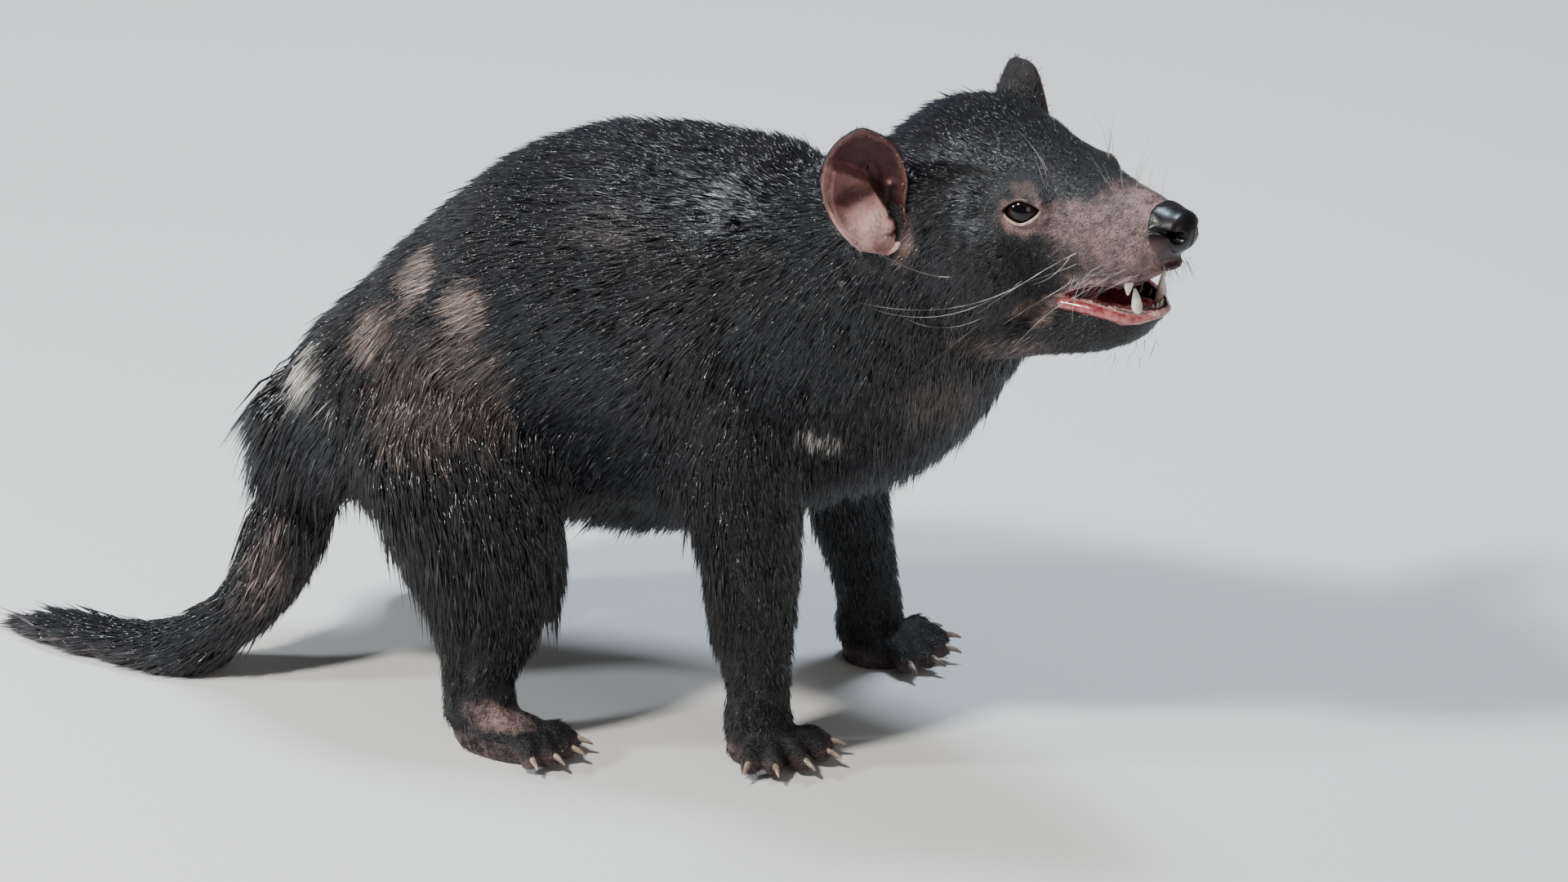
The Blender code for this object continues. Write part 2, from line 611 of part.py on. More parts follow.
def keep_largest(made):
    """Keeps only the largest closed surface of an object."""
    mesh = made.data
    count = len(mesh.vertices)
    parent = np.arange(count)
    edges = np.empty(len(mesh.edges) * 2, np.int32)
    mesh.edges.foreach_get("vertices", edges)
    a, b = edges.reshape(-1, 2).T
    while True:
        low = np.minimum(parent[a], parent[b])
        new = parent.copy()
        np.minimum.at(new, a, low)
        np.minimum.at(new, b, low)
        new = new[new]
        if (new == parent).all():
            break
        parent = new
    places = point_places(made)
    sizes = {}
    for label in np.unique(parent):
        box = np.ptp(places[parent == label], axis=0)
        sizes[label] = float(box.sum())
    best = max(sizes, key=sizes.get)
    if len(sizes) > 1:
        keep = parent == best
        number = np.cumsum(keep) - 1
        faces = [tuple(int(number[i]) for i in p.vertices) for p in mesh.polygons if keep[p.vertices[0]]]
        fresh = bpy.data.meshes.new(mesh.name)
        fresh.from_pydata([tuple(p) for p in places[keep]], [], faces)
        made.data = fresh
        bpy.data.meshes.remove(mesh)
    return made


def is_closed(mesh):
    """True where every edge joins two faces and every point has one fan of faces."""
    shape = bmesh.new()
    shape.from_mesh(mesh)
    good = all(e.is_manifold for e in shape.edges) and all(v.is_manifold for v in shape.verts)
    shape.free()
    return good


def thin_part(made, free, triangles):
    """Leaves about so many triangles where the points are free, with the same form, and locks the rest."""
    shape = bmesh.new()
    shape.from_mesh(made.data)
    bmesh.ops.triangulate(shape, faces=shape.faces)
    total = len(shape.faces)
    inside = sum(1 for f in shape.faces if all(free[v.index] for v in f.verts))
    shape.to_mesh(made.data)
    shape.free()
    group = made.vertex_groups.new(name="free")
    group.add(np.flatnonzero(free).tolist(), 1.0, "REPLACE")
    step = made.modifiers.new("thin", "DECIMATE")
    step.use_collapse_triangulate = True
    step.vertex_group = group.name
    step.ratio = (total - inside + triangles) / total
    settle(made)
    made.vertex_groups.clear()
    return keep_largest(made)


def thin_out(made):
    """Fewer triangles: more of them kept on the face and the paws than on the body."""
    for fine, triangles in ((False, BODY_TRIANGLES), (True, FACE_AND_PAWS_TRIANGLES)):
        places = point_places(made)
        detailed = face_share(places) > 0.4
        for _, (x, y), _ in PAWS.values():
            near = (np.hypot(places[:, 0] - x, places[:, 1] - y) < PAW_REACH) & (places[:, 2] < PAW_TOP)
            detailed |= near
        thin_part(made, detailed == fine, triangles)
    if not is_closed(made.data):
        raise ValueError("the thinned flesh isn't closed")


def regions():
    """Each cut's name with the box that it takes, grown by a margin."""
    head = head_matrix()
    turn = head.to_3x3()

    def box(centre, sizes, rotation):
        return lambda grow: slab("region", centre, [s + grow for s in sizes], rotation)

    def in_head_box(centre, sizes, pitch):
        rotation = turn @ Matrix.Rotation(math.radians(pitch), 3, "Y")
        return box(head @ Vector(centre), sizes, rotation)

    cuts = [(name, in_head_box(*cut)) for name, cut in HEAD_CUTS.items()]
    cuts.append(("tail", box(*TAIL_CUT[:2], Matrix.Rotation(math.radians(TAIL_CUT[2]), 3, "Y"))))
    for name, (_, (x, y), heading) in PAWS.items():
        centre = (x, y, PAW_CUT_HEIGHT - PAW_CUT_SIZES[2])
        cuts.append((name, box(centre, PAW_CUT_SIZES, Matrix.Rotation(math.radians(heading), 3, "Z"))))
    for name, (back, front) in LEG_CUTS.items():
        side = 1 if name.endswith("left") else -1
        rotation = Matrix.Rotation(math.radians(side * LEG_CUT_TILT), 3, "X")
        groin = Vector(((back + front) / 2, side * LEG_CUT_PLACE[0], LEG_CUT_PLACE[1]))
        centre = groin - rotation @ Vector((0, 0, LEG_CUT_DEPTH))
        cuts.append((name, box(centre, ((front - back) / 2, LEG_CUT_WIDTH, LEG_CUT_DEPTH), rotation)))
    cuts.append(("neck", box(*NECK_CUT[:2], Matrix.Rotation(math.radians(NECK_CUT[2]), 3, "Y"))))
    return cuts


def above_floor(whole):
    """Cuts the flesh flat where it meets the floor."""
    block = slab("floor_block", (0, 0, -0.1), (0.6, 0.4, 0.1), Matrix.Identity(3))
    boolean(whole, block, "DIFFERENCE")
    drop(block)


def cone_rows(root, aim, bend, length, radius, shares=(0.0, 0.35, 0.7, 1.0)):
    """Tube rows of a bent cone from its root, leaning more and more towards bend."""
    root, aim, bend = Vector(root), Vector(aim).normalized(), Vector(bend)
    rows = []
    for share in shares:
        place = root + aim * length * share + bend * length * share * share
        thick = radius * (1 - 0.85 * share**1.3)
        rows.append((*place, thick, thick, thick))
    return rows


def spike(name, root, aim, bend, length, radius, up=(0, 0, 1), sides=5):
    """One tooth or claw, with its root end rounded."""
    rows = cone_rows(root, aim, bend, length, radius)
    return tube(name, rows, up, (radius * 0.5, radius * 0.2), 2.0, sides, length / 2.9, cap_rings=1)


def claws(name):
    """The claws of one paw, each sunk into its toe."""
    paw, (x, y), heading = PAWS[name]
    place = Matrix.Translation((x, y, 0)) @ Matrix.Rotation(math.radians(heading), 4, "Z")
    made = []
    for angle, share in zip(paw["spread"], paw["lengths"]):
        path = toe_path(paw, angle, share)
        out = (path[2] - path[1]).normalized()
        root = path[2] + Vector((0, 0, 0.0012))
        claw = spike("claw", root, (out.x, out.y, 0.10), (0, 0, -0.30), CLAW_LENGTH, CLAW_RADIUS)
        claw.data.transform(place)
        made.append(claw)
    return made


def join_all(made, extras):
    """Fuses extra closed forms to an object by one union on their collection."""
    group = bpy.data.collections.new("extras")
    for extra in extras:
        group.objects.link(extra)
    step = made.modifiers.new("fuse", "BOOLEAN")
    step.operation = "UNION"
    step.operand_type = "COLLECTION"
    step.collection = group
    step.solver = "MANIFOLD"
    settle(made)
    for extra in extras:
        drop(extra)
    bpy.data.collections.remove(group)
    return keep_largest(made)


def lock(root, normal, lie, length, half_width):
    """One flat, tapered lock, which leans off the skin at its root and bends down towards its tip."""
    aim = (Vector(lie).normalized() + LOCK_LIFT * normal).normalized()
    side = normal.cross(aim).normalized()
    flat = aim.cross(side)
    sunk = root - normal * LOCK_SINK - aim * (LOCK_SINK / 2)
    bend = Vector((0, 0, -LOCK_DROOP)) - normal * (LOCK_LIFT / 2)
    points, faces = [], []
    for share, scale in LOCK_SHAPE:
        middle = sunk + aim * length * share + bend * length * share * share
        wide = side * half_width * scale
        thick = flat * half_width * scale * LOCK_THICKNESS
        points += [middle + wide, middle + thick, middle - wide, middle - thick]
    points.append(sunk + (aim + bend) * length)
    rings = len(LOCK_SHAPE)
    for k in range(rings - 1):
        for j in range(4):
            a, b = 4 * k + j, 4 * k + (j + 1) % 4
            faces.append((a, b, b + 4, a + 4))
    last = 4 * (rings - 1)
    faces += [(last + j, last + (j + 1) % 4, last + 4) for j in range(4)]
    faces.append((3, 2, 1, 0))
    made = add_mesh("lock", points, faces)
    if not faces_outward(made):
        made.data.flip_normals()
    return made


def skin_of(node):
    """A search tree over a piece's surface."""
    return BVHTree.FromPolygons([v.co for v in node.data.vertices], [p.vertices for p in node.data.polygons])


def plant(skin, start, toward, lie, length, half_width, draw):
    """A lock where a look from outside meets the skin, or none where it misses."""
    root, normal, _, _ = skin.ray_cast(Vector(start), Vector(toward).normalized(), 0.12)
    if root is None:
        return []
    turn = Vector([draw.uniform(-0.16, 0.16) for _ in range(3)])
    scale = draw.uniform(0.82, 1.12)
    return [lock(root, normal, Vector(lie) + turn, length * scale, half_width * draw.uniform(0.85, 1.1))]


def fringe_locks(nodes, draw):
    """The locks of every straight row and of the hems round the ankles, by piece."""
    made = {}
    for name, start, end, toward, lie, count, length, half_width in FRINGES:
        skin = skin_of(nodes[name])
        for k in range(count):
            share = (k + draw.uniform(-0.2, 0.2)) / (count - 1)
            place = Vector(start).lerp(Vector(end), share)
            made.setdefault(name, []).extend(plant(skin, place, toward, lie, length, half_width, draw))
    for name, (x, y), height, count, length, half_width in HEMS:
        skin = skin_of(nodes[name])
        for k in range(count):
            angle = (k + draw.uniform(-0.15, 0.15)) * 2 * math.pi / count
            out = Vector((math.cos(angle), math.sin(angle), 0))
            place = Vector((x, y, height + draw.uniform(-0.003, 0.003))) + out * 0.06
            lie = out * 0.10 + Vector((0, 0, -1))
            made[name].extend(plant(skin, place, -out, lie, length, half_width, draw))
    return made


def brush_locks(draw):
    """The locks of the tail, which lie along it and reach past its tip."""
    rows = smooth_rows([(x, y, z, radius) for x, y, z, radius in TAIL], TUBE_STEP)
    tangents = np.gradient(rows[:, :3], axis=0)
    made = []
    for k in range(BRUSH["locks"]):
        share = BRUSH["from"] + (BRUSH["to"] - BRUSH["from"]) * k / (BRUSH["locks"] - 1)
        index = int(share * (len(rows) - 1))
        along = Vector(tangents[index]).normalized()
        across = Vector((0, 0, 1)).cross(along).normalized()
        rise = along.cross(across)
        angle = math.radians(-15 + 105 * (k % 3) + draw.uniform(-14, 14))
        out = across * math.cos(angle) + rise * math.sin(angle)
        root = Vector(rows[index, :3]) + out * float(rows[index, 3]) * 0.90
        length = BRUSH["length"] * draw.uniform(0.85, 1.1)
        made.append(lock(root, out, along + Vector((0, 0, 0.20)), length, BRUSH["width"]))
    return made


def add_locks(nodes):
    """Sets the long coat's locks in their pieces, each kept clear of the pieces next to it."""
    draw = random.Random(LOCK_SEED)
    locks = fringe_locks(nodes, draw)
    locks["tail"] = brush_locks(draw)
    neighbours = {"neck": ("torso", "head"), "torso": ("neck", "tail"), "tail": ("torso",)}
    cutters = {name: grown(nodes[name], 1.5 * GAP) for name in ("neck", "torso", "head", "tail")}
    floor = slab("floor_block", (0, 0, -0.1), (0.6, 0.4, 0.1), Matrix.Identity(3))
    for name, group in locks.items():
        for each in group:
            for other in neighbours.get(name, ("torso",)):
                boolean(each, cutters[other], "DIFFERENCE")
            if name == "tail":
                boolean(each, floor, "DIFFERENCE")
        join_all(nodes[name], group)
    for cutter in list(cutters.values()) + [floor]:
        drop(cutter)


def eyelids(head, side):
    """A lid ball with an almond opening, and the socket that holds the eye."""
    place = (EYE_PLACE[0], side * EYE_PLACE[1], EYE_PLACE[2])
    look = (EYE_LOOK[0], side * EYE_LOOK[1], EYE_LOOK[2])
    ball = in_head(ellipsoid("lid_ball", place, [EYE_RADIUS + LID_THICKNESS] * 3, segments=16))
    boolean(head, ball, "UNION")
    drop(ball)
    socket = in_head(ellipsoid("socket", place, [EYE_RADIUS + 1.4 * GAP] * 3, segments=16))
    boolean(head, socket, "DIFFERENCE")
    drop(socket)
    turn = axes(look, (-0.10, 0, 1))
    start = Vector(place) + turn @ Vector((0.002, 0, 0))
    end = Vector(place) + turn @ Vector((0.030, 0, 0))
    long_half, tall_half = LID_OPENING
    rows = [(*place, long_half * k, tall_half * k, tall_half * k) for place, k in ((start, 1.0), (end, 1.3))]
    almond = in_head(tube("almond", rows, turn @ Vector((0, 0, 1)), (0.0001, 0.0001), 1.8, sides=14, step=0.03,
                          cap_rings=1))
    boolean(head, almond, "DIFFERENCE")
    drop(almond)


def eye(side, name):
    """One eyeball."""
    place = (EYE_PLACE[0], side * EYE_PLACE[1], EYE_PLACE[2])
    return in_head(ellipsoid(name, place, [EYE_RADIUS] * 3, segments=16))


def nostrils(nose):
    """Two comma-shaped openings in the nose pad."""
    for side in (1, -1):
        rows = [(x, side * y, z, *sizes) for x, y, z, *sizes in NOSTRIL]
        hole = in_head(tube("nostril", rows, (0, 0, 1), (0.002, 0.001), 2.0, sides=8, step=0.006,
                            cap_rings=1))
        boolean(nose, hole, "DIFFERENCE")
        drop(hole)
    return keep_largest(nose)


def ear(word):
    """One cupped ear: an outer and an inner sheet that meet round the rim."""
    centre, facing, up = EARS[word]
    turn = np.array(axes(facing, up))
    rings, sides = 6, 24
    angles = np.arange(sides) * 2 * math.pi / sides
    shares = np.linspace(1.0, 0.12, rings)
    centre = np.array(centre)

    def sheet(shares, back, shrink):
        grid = []
        for share in shares:
            wide = EAR_HALF_WIDTH * share - shrink
            tall = EAR_HALF_HEIGHT * share - shrink
            flat = np.stack((np.zeros(sides), wide * np.cos(angles), tall * np.sin(angles)), axis=1)
            narrow = 1 - 0.30 * np.clip(-np.sin(angles), 0, 1) * share
            flat[:, 1] *= narrow
            flat[:, 0] = -EAR_DEPTH * (1 - share**2.2) - back
            grid.append(centre + flat @ turn.T)
        return grid

    outer = sheet(shares, EAR_WALL, 0.0)
    inner = sheet(shares, 0.0, EAR_WALL * 0.55)
    rings_all = list(reversed(outer)) + inner
    points = np.concatenate(rings_all + [rings_all[0].mean(0)[None], rings_all[-1].mean(0)[None]])
    faces = []
    for k in range(len(rings_all) - 1):
        for j in range(sides):
            a, b = k * sides + j, k * sides + (j + 1) % sides
            faces.append((a, b, b + sides, a + sides))
    low, high = len(points) - 2, len(points) - 1
    last = (len(rings_all) - 1) * sides
    faces += [(low, (j + 1) % sides, j) for j in range(sides)]
    faces += [(high, last + j, last + (j + 1) % sides) for j in range(sides)]
    return in_head(add_mesh("ear_" + word, points, faces))


def grown(made, margin):
    """A copy of an object pushed outwards along its normals."""
    copy = made.copy()
    copy.data = made.data.copy()
    bpy.context.scene.collection.objects.link(copy)
    push = copy.modifiers.new("push", "DISPLACE")
    push.mid_level = 0
    push.strength = margin
    return settle(copy)


def clear_of(made, *others):
    """Trims an object so that it stays a thin gap away from others."""
    for other in others:
        cutter = grown(other, 1.5 * GAP)
        boolean(made, cutter, "DIFFERENCE")
        drop(cutter)
    return keep_largest(made)


def faces_outward(made):
    """True where the object's faces point out, by the sign of its volume."""
    mesh = made.data
    mesh.calc_loop_triangles()
    total = 0.0
    for triangle in mesh.loop_triangles:
        a, b, c = (mesh.vertices[i].co for i in triangle.vertices)
        total += a.dot(b.cross(c))
    return total > 0


def paint(made, finish):
    """Gives an object its own material."""
    made.data.materials.clear()
    made.data.materials.append(material(made.name + "_finish", finish))


def teeth(rows):
    """The teeth of one jaw on both sides, each sunk into its gum."""
    made = []
    for root, aim, bend, length, radius, step in rows:
        for k in range(3 if step else 1):
            place = Vector(root) + k * Vector(step or (0, 0, 0))
            for side in (1, -1):
                mirror = Vector((1, side, 1))
                made.append(in_head(spike("tooth", place * mirror, Vector(aim) * mirror, bend, length, radius,
                                          (1, 0, 0))))
    return made


def tongue():
    """The tongue, lying in the floor of the mouth, in the head's frame."""
    return in_head(tube("tongue", TONGUE, (0, 0, 1), (0.004, 0.003), 2.2, sides=12, step=0.010, cap_rings=2))


def stand_on_floor(nodes):
    """Moves every piece so that the model's box is centred on the origin and stands on z = 0."""
    corners = [v.co for node in nodes for v in node.data.vertices]
    low = [min(c[i] for c in corners) for i in range(3)]
    high = [max(c[i] for c in corners) for i in range(3)]
    shift = Matrix.Translation((-(low[0] + high[0]) / 2, -(low[1] + high[1]) / 2, 0))
    for node in nodes:
        node.data.transform(shift)
    print("moved by", tuple(round(v, 5) for v in shift.translation), "lowest", round(low[2], 6))


def flesh():
    """The whole body in one closed form, with its mouth open and its feet flat on the floor."""
    body = fuse_by_remesh("body", flesh_forms(), FLESH_VOXEL)
    body_share = body_weights(body)
    soften(body, body_share, BODY_SMOOTHING)
    soften(body, 1 - body_share, FACE_SMOOTHING)
    mouth = mouth_cutter()
    boolean(body, mouth, "DIFFERENCE")
    drop(mouth)
    lips = [lip(SKULL, 1, UPPER_LIP_FRONT, LIP_RADIUS), lip(JAW, 2, LOWER_LIP_FRONT, LIP_RADIUS)]
    whole = fuse_by_remesh("torso", [body] + lips, FACE_VOXEL)
    soften(whole, np.ones(len(whole.data.vertices)), LIP_SMOOTHING)
    thin_out(whole)
    above_floor(whole)
    return whole


def main():
    for old in list(bpy.data.objects):
        bpy.data.objects.remove(old)
    whole = flesh()
    nodes = {}
    for name, region_of in regions():
        nodes[name] = cut_out(whole, name, region_of)
    nodes["torso"] = whole
    for node in nodes.values():
        keep_largest(node)
    for side in (1, -1):
        eyelids(nodes["head"], side)
    keep_largest(nodes["head"])
    join_all(nodes["head"], teeth(UPPER_TEETH))
    nodes["tongue"] = tongue()
    clear_of(nodes["lower_jaw"], nodes["tongue"])
    join_all(nodes["lower_jaw"], teeth(LOWER_TEETH))
    nostrils(nodes["nose"])
    for name in PAWS:
        join_all(nodes[name], claws(name))
    for side, word in ((1, "left"), (-1, "right")):
        nodes["eye_" + word] = eye(side, "eye_" + word)
        nodes["ear_" + word] = clear_of(ear(word), nodes["head"], nodes["neck"])
    add_locks(nodes)
    finishes = {"nose": NOSE, "tongue": WET, "eye_left": EYE, "eye_right": EYE, "ear_left": SKIN,
                "ear_right": SKIN}
    for name, node in nodes.items():
        if not faces_outward(node):
            node.data.flip_normals()
        paint(node, finishes.get(name, COAT))
    stand_on_floor(list(nodes.values()))


main()
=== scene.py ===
# Tasmanian devil, life size: one skin and its coat, eyes, nose, ears, mouth, claws and whiskers, round the
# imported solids. Tables are in metres in the body's own frame, and bodyShift carries them to the row frame.

import math

import bpy
import numpy as np
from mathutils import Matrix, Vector


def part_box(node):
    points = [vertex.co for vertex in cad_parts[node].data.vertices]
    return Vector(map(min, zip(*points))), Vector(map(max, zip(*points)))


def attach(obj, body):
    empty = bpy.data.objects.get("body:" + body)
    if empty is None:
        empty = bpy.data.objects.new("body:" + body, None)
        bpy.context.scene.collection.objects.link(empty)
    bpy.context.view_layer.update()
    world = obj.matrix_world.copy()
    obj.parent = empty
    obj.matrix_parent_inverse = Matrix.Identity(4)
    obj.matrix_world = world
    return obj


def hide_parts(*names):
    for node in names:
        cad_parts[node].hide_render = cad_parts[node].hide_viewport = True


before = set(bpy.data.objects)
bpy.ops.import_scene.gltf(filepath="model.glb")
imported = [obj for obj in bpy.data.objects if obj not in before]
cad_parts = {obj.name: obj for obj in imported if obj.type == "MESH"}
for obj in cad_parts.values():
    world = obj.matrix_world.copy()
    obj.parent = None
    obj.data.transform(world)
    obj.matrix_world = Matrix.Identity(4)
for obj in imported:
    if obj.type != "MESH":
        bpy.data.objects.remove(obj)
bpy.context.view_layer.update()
print("stage: the packed solids are loaded")

head = {"place": (0.1925, -0.0135, 0.280), "turn": -17}    # the head's frame: x to the nose, y left, z up
eyes = {
    "radius": 0.0085,
    "place": (0.0488, 0.0288, 0.0067),         # the left one, in the head's frame
    "solidPlace": (0.0500, 0.0285, 0.0078),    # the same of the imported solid, which gives the shift
    "look": (0.36, 0.90, 0.16),
    "lid": 0.0017,                             # thickness
    "opening": (0.0088, 0.0056),               # half length, half height
    "squareness": 1.5,
    "cornea": 0.035,                           # how much further the front reaches, as a share
    "room": 0.0002,                            # between the ball and its socket
}


def unit(vectors):
    # A vector, or each row of an array, divided by its own length.
    vectors = np.asarray(vectors, float)
    return vectors / np.maximum(np.linalg.norm(vectors, axis=-1, keepdims=True), 1e-12)


def turnAbout(axis, degrees):
    # The rotation matrix about the z axis or the y axis.
    c, s = math.cos(math.radians(degrees)), math.sin(math.radians(degrees))
    if axis == "z":
        return np.array([[c, -s, 0], [s, c, 0], [0, 0, 1]])
    return np.array([[c, 0, s], [0, 1, 0], [-s, 0, c]])


headAxes = turnAbout("z", head["turn"])


def inHead(points):
    # Points of the head's frame, in the body's frame: turned, then moved.
    return np.asarray(points, float) @ headAxes.T + np.array(head["place"])


def fromBody(points):
    # Points of the body's frame, in the head's frame.
    return (np.asarray(points, float) - np.array(head["place"])) @ headAxes


def mirrored(place, side):
    # The same place on the left, 1, or on the right, -1.
    return np.array(place, float) * (1, side, 1)


def folded(local):
    # Places of the head's frame, with those of its right half carried over to the left.
    return local * (1, 0, 1) + np.abs(local) * (0, 1, 0)


eyeCorners = np.array(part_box("eye_right"))
bodyShift = eyeCorners.mean(axis=0) - inHead(mirrored(eyes["solidPlace"], -1))


def framed(forward, up):
    # Three axes as columns: x forward, z as near to up as it can be.
    x = unit(forward)
    y = unit(np.cross(up, x))
    return np.stack((x, y, np.cross(x, y)), axis=1)


def smoothRows(rows, step):
    # Rows read evenly along a smooth curve through the given rows: cubic pieces whose slopes agree.
    rows = np.array(rows, float)
    along = np.concatenate(([0], np.cumsum(np.linalg.norm(np.diff(rows[:, :3], axis=0), axis=1))))
    slopes = np.gradient(rows, along, axis=0)
    places = np.linspace(0, along[-1], max(3, int(along[-1] / step) + 1))
    index = np.clip(np.searchsorted(along, places, side="right") - 1, 0, len(rows) - 2)
    span = (along[index + 1] - along[index])[:, None]
    t = (places[:, None] - along[index][:, None]) / span
    start, end = rows[index], rows[index + 1]
    return (start * (2 * t**3 - 3 * t**2 + 1) + end * (3 * t**2 - 2 * t**3)
            + slopes[index] * span * (t**3 - 2 * t**2 + t) + slopes[index + 1] * span * (t**3 - t**2))


def ringAxes(rows, up, upright):
    # For each row of a path: the way along it, the way across it and the way it rises.
    tangents = unit(np.gradient(rows[:, :3], axis=0))
    if upright:
        tangents[:, 2] = 0
    across = unit(np.cross(np.array(up, float), tangents))
    return tangents, across, np.cross(tangents, across)


def gridFaces(rows, columns, wrap=True):
    # Quads between neighbouring rows of a grid of points, closed round the columns or not.
    r, c = np.meshgrid(np.arange(rows - 1), np.arange(columns if wrap else columns - 1), indexing="ij")
    a, b = (r * columns + c).ravel(), (r * columns + (c + 1) % columns).ravel()
    return np.stack((a, b, b + columns, a + columns), axis=1)


def tube(rows, up, caps, squareness=2.2, sides=48, step=0.004, upright=False, capRings=5):
    # A closed tube: at every row stands a superellipse, with its own half width, rise and fall, and each
    # end closes in a quarter of an ellipse. Rows are x, y, z, half width, up, down.
    rows = smoothRows(rows, step)
    tangents, across, rise = ringAxes(rows, up, upright)
    angles = np.arange(sides) * 2 * np.pi / sides
    wide = np.sign(np.cos(angles)) * np.abs(np.cos(angles)) ** (2 / squareness)
    tall = np.sign(np.sin(angles)) * np.abs(np.sin(angles)) ** (2 / squareness)
    turns = np.pi / 2 * np.arange(1, capRings + 1) / (capRings + 1)
    count = len(rows)
    index = np.concatenate((np.zeros(capRings, int), np.arange(count), np.full(capRings, count - 1)))
    scale = np.concatenate((np.cos(turns[::-1]), np.ones(count), np.cos(turns)))
    shift = np.concatenate((-caps[0] * np.sin(turns[::-1]), np.zeros(count), caps[1] * np.sin(turns)))
    height = np.where(tall > 0, rows[index, 4:5], rows[index, 5:6]) * tall
    width = rows[index, 3:4] * wide
    middle = rows[index, :3] + tangents[index] * shift[:, None]
    points = (middle[:, None] + scale[:, None, None]
              * (width[..., None] * across[index][:, None] + height[..., None] * rise[index][:, None]))
    ends = np.stack((rows[0, :3] - tangents[0] * caps[0], rows[-1, :3] + tangents[-1] * caps[1]))
    total = len(index) * sides
    ring = np.arange(sides)
    low = np.stack((np.full(sides, total), (ring + 1) % sides, ring), axis=1)
    last = total - sides
    high = np.stack((np.full(sides, total + 1), last + ring, last + (ring + 1) % sides), axis=1)
    return np.vstack((points.reshape(-1, 3), ends)), gridFaces(len(index), sides), np.vstack((low, high))


def ellipsoid(place, sizes, segments=48):
    # A sphere's points by longitude and latitude, stretched to three half sizes.
    lon = np.arange(segments) * 2 * np.pi / segments
    lat = np.arange(1, segments // 2) * np.pi / (segments // 2)
    ring = np.stack((np.outer(np.sin(lat), np.cos(lon)), np.outer(np.sin(lat), np.sin(lon)),
                     np.outer(np.cos(lat), np.ones(segments))), axis=-1).reshape(-1, 3)
    points = np.vstack((ring, [[0, 0, 1], [0, 0, -1]])) * np.array(sizes) + np.array(place)
    turn = np.arange(segments)
    north, south = len(points) - 2, len(points) - 1
    last = (len(lat) - 1) * segments
    top = np.stack((np.full(segments, north), turn, (turn + 1) % segments), axis=1)
    base = np.stack((np.full(segments, south), last + (turn + 1) % segments, last + turn), axis=1)
    return points, gridFaces(len(lat), segments)[:, ::-1], np.vstack((top, base))


def merge(forms):
    # Several forms in one: their points end to end, and their faces counted on.
    points, quads, triangles, offset = [], [], [], 0
    for places, four, three in forms:
        points.append(places)
        quads.append(four + offset)
        triangles.append(three + offset)
        offset += len(places)
    return np.vstack(points), np.vstack(quads), np.vstack(triangles)


def addMesh(name, points, *faceSets):
    # A smooth mesh object from points of the body's frame and arrays of faces, each of one size.
    faceSets = [np.asarray(faces, np.int32) for faces in faceSets if len(faces)]
    corners = np.concatenate([faces.ravel() for faces in faceSets])
    sizes = np.concatenate([np.full(len(faces), faces.shape[1], np.int32) for faces in faceSets])
    mesh = bpy.data.meshes.new(name)
    mesh.vertices.add(len(points))
    mesh.loops.add(len(corners))
    mesh.polygons.add(len(sizes))
    mesh.vertices.foreach_set("co", (np.asarray(points, float) + bodyShift).astype(np.float32).ravel())
    mesh.loops.foreach_set("vertex_index", corners)
    mesh.polygons.foreach_set("loop_start", (np.cumsum(sizes) - sizes).astype(np.int32))
    mesh.polygons.foreach_set("use_smooth", np.ones(len(sizes), bool))
    mesh.update(calc_edges=True)
    made = bpy.data.objects.new(name, mesh)
    bpy.context.scene.collection.objects.link(made)
    return made


def drop(made):
    # Removes an object with its mesh.
    mesh = made.data
    bpy.data.objects.remove(made)
    bpy.data.meshes.remove(mesh)


def settle(made):
    # The modifiers' result becomes the object's own mesh.
    graph = bpy.context.evaluated_depsgraph_get()
    mesh = bpy.data.meshes.new_from_object(made.evaluated_get(graph))
    made.modifiers.clear()
    old, made.data = made.data, mesh
    bpy.data.meshes.remove(old)
    return made


def boolean(made, other, operation):
    # Joins, cuts or keeps what is shared with another closed object, which is then removed.
    step = made.modifiers.new(operation, "BOOLEAN")
    step.operation, step.object, step.solver = operation, other, "MANIFOLD"
    settle(made)
    drop(other)
    return made


def remesh(made, voxel):
    # One closed surface round everything in the mesh.
    step = made.modifiers.new("fuse", "REMESH")
    step.mode, step.voxel_size, step.use_smooth_shade = "VOXEL", voxel, True
    return settle(made)


def readPoints(made):
    # A mesh's places in the body's frame.
    places = np.empty(len(made.data.vertices) * 3)
    made.data.vertices.foreach_get("co", places)
    return places.reshape(-1, 3) - bodyShift


def readEdges(made):
    # The two ends of every edge, as two arrays of point numbers.
    edges = np.empty(len(made.data.edges) * 2, np.int32)
    made.data.edges.foreach_get("vertices", edges)
    return edges.reshape(-1, 2).T


def readTriangles(made):
    # Every triangle's three point numbers.
    made.data.calc_loop_triangles()
    corners = np.empty(len(made.data.loop_triangles) * 3, np.int32)
    made.data.loop_triangles.foreach_get("vertices", corners)
    return corners.reshape(-1, 3)


def readNormals(made, rounds=3):
    # Each point's faces count by their areas, and so do its neighbours', so that no thin face turns it alone.
    points, corners = readPoints(made), readTriangles(made)
    first, second, third = (points[corners[:, k]] for k in range(3))
    faces = np.cross(second - first, third - first)
    normals = sum(np.stack([np.bincount(corners[:, k], faces[:, axis], len(points)) for axis in range(3)], axis=1)
                  for k in range(3))
    a, b = readEdges(made)
    for _ in range(rounds):
        normals = normals + 0.5 * np.stack([np.bincount(a, normals[b, k], len(points))
                                            + np.bincount(b, normals[a, k], len(points)) for k in range(3)], axis=1)
    return unit(normals)


def writePoints(made, places):
    # Moves a mesh's points to places of the body's frame.
    made.data.vertices.foreach_set("co", (places + bodyShift).astype(np.float32).ravel())
    made.data.update()


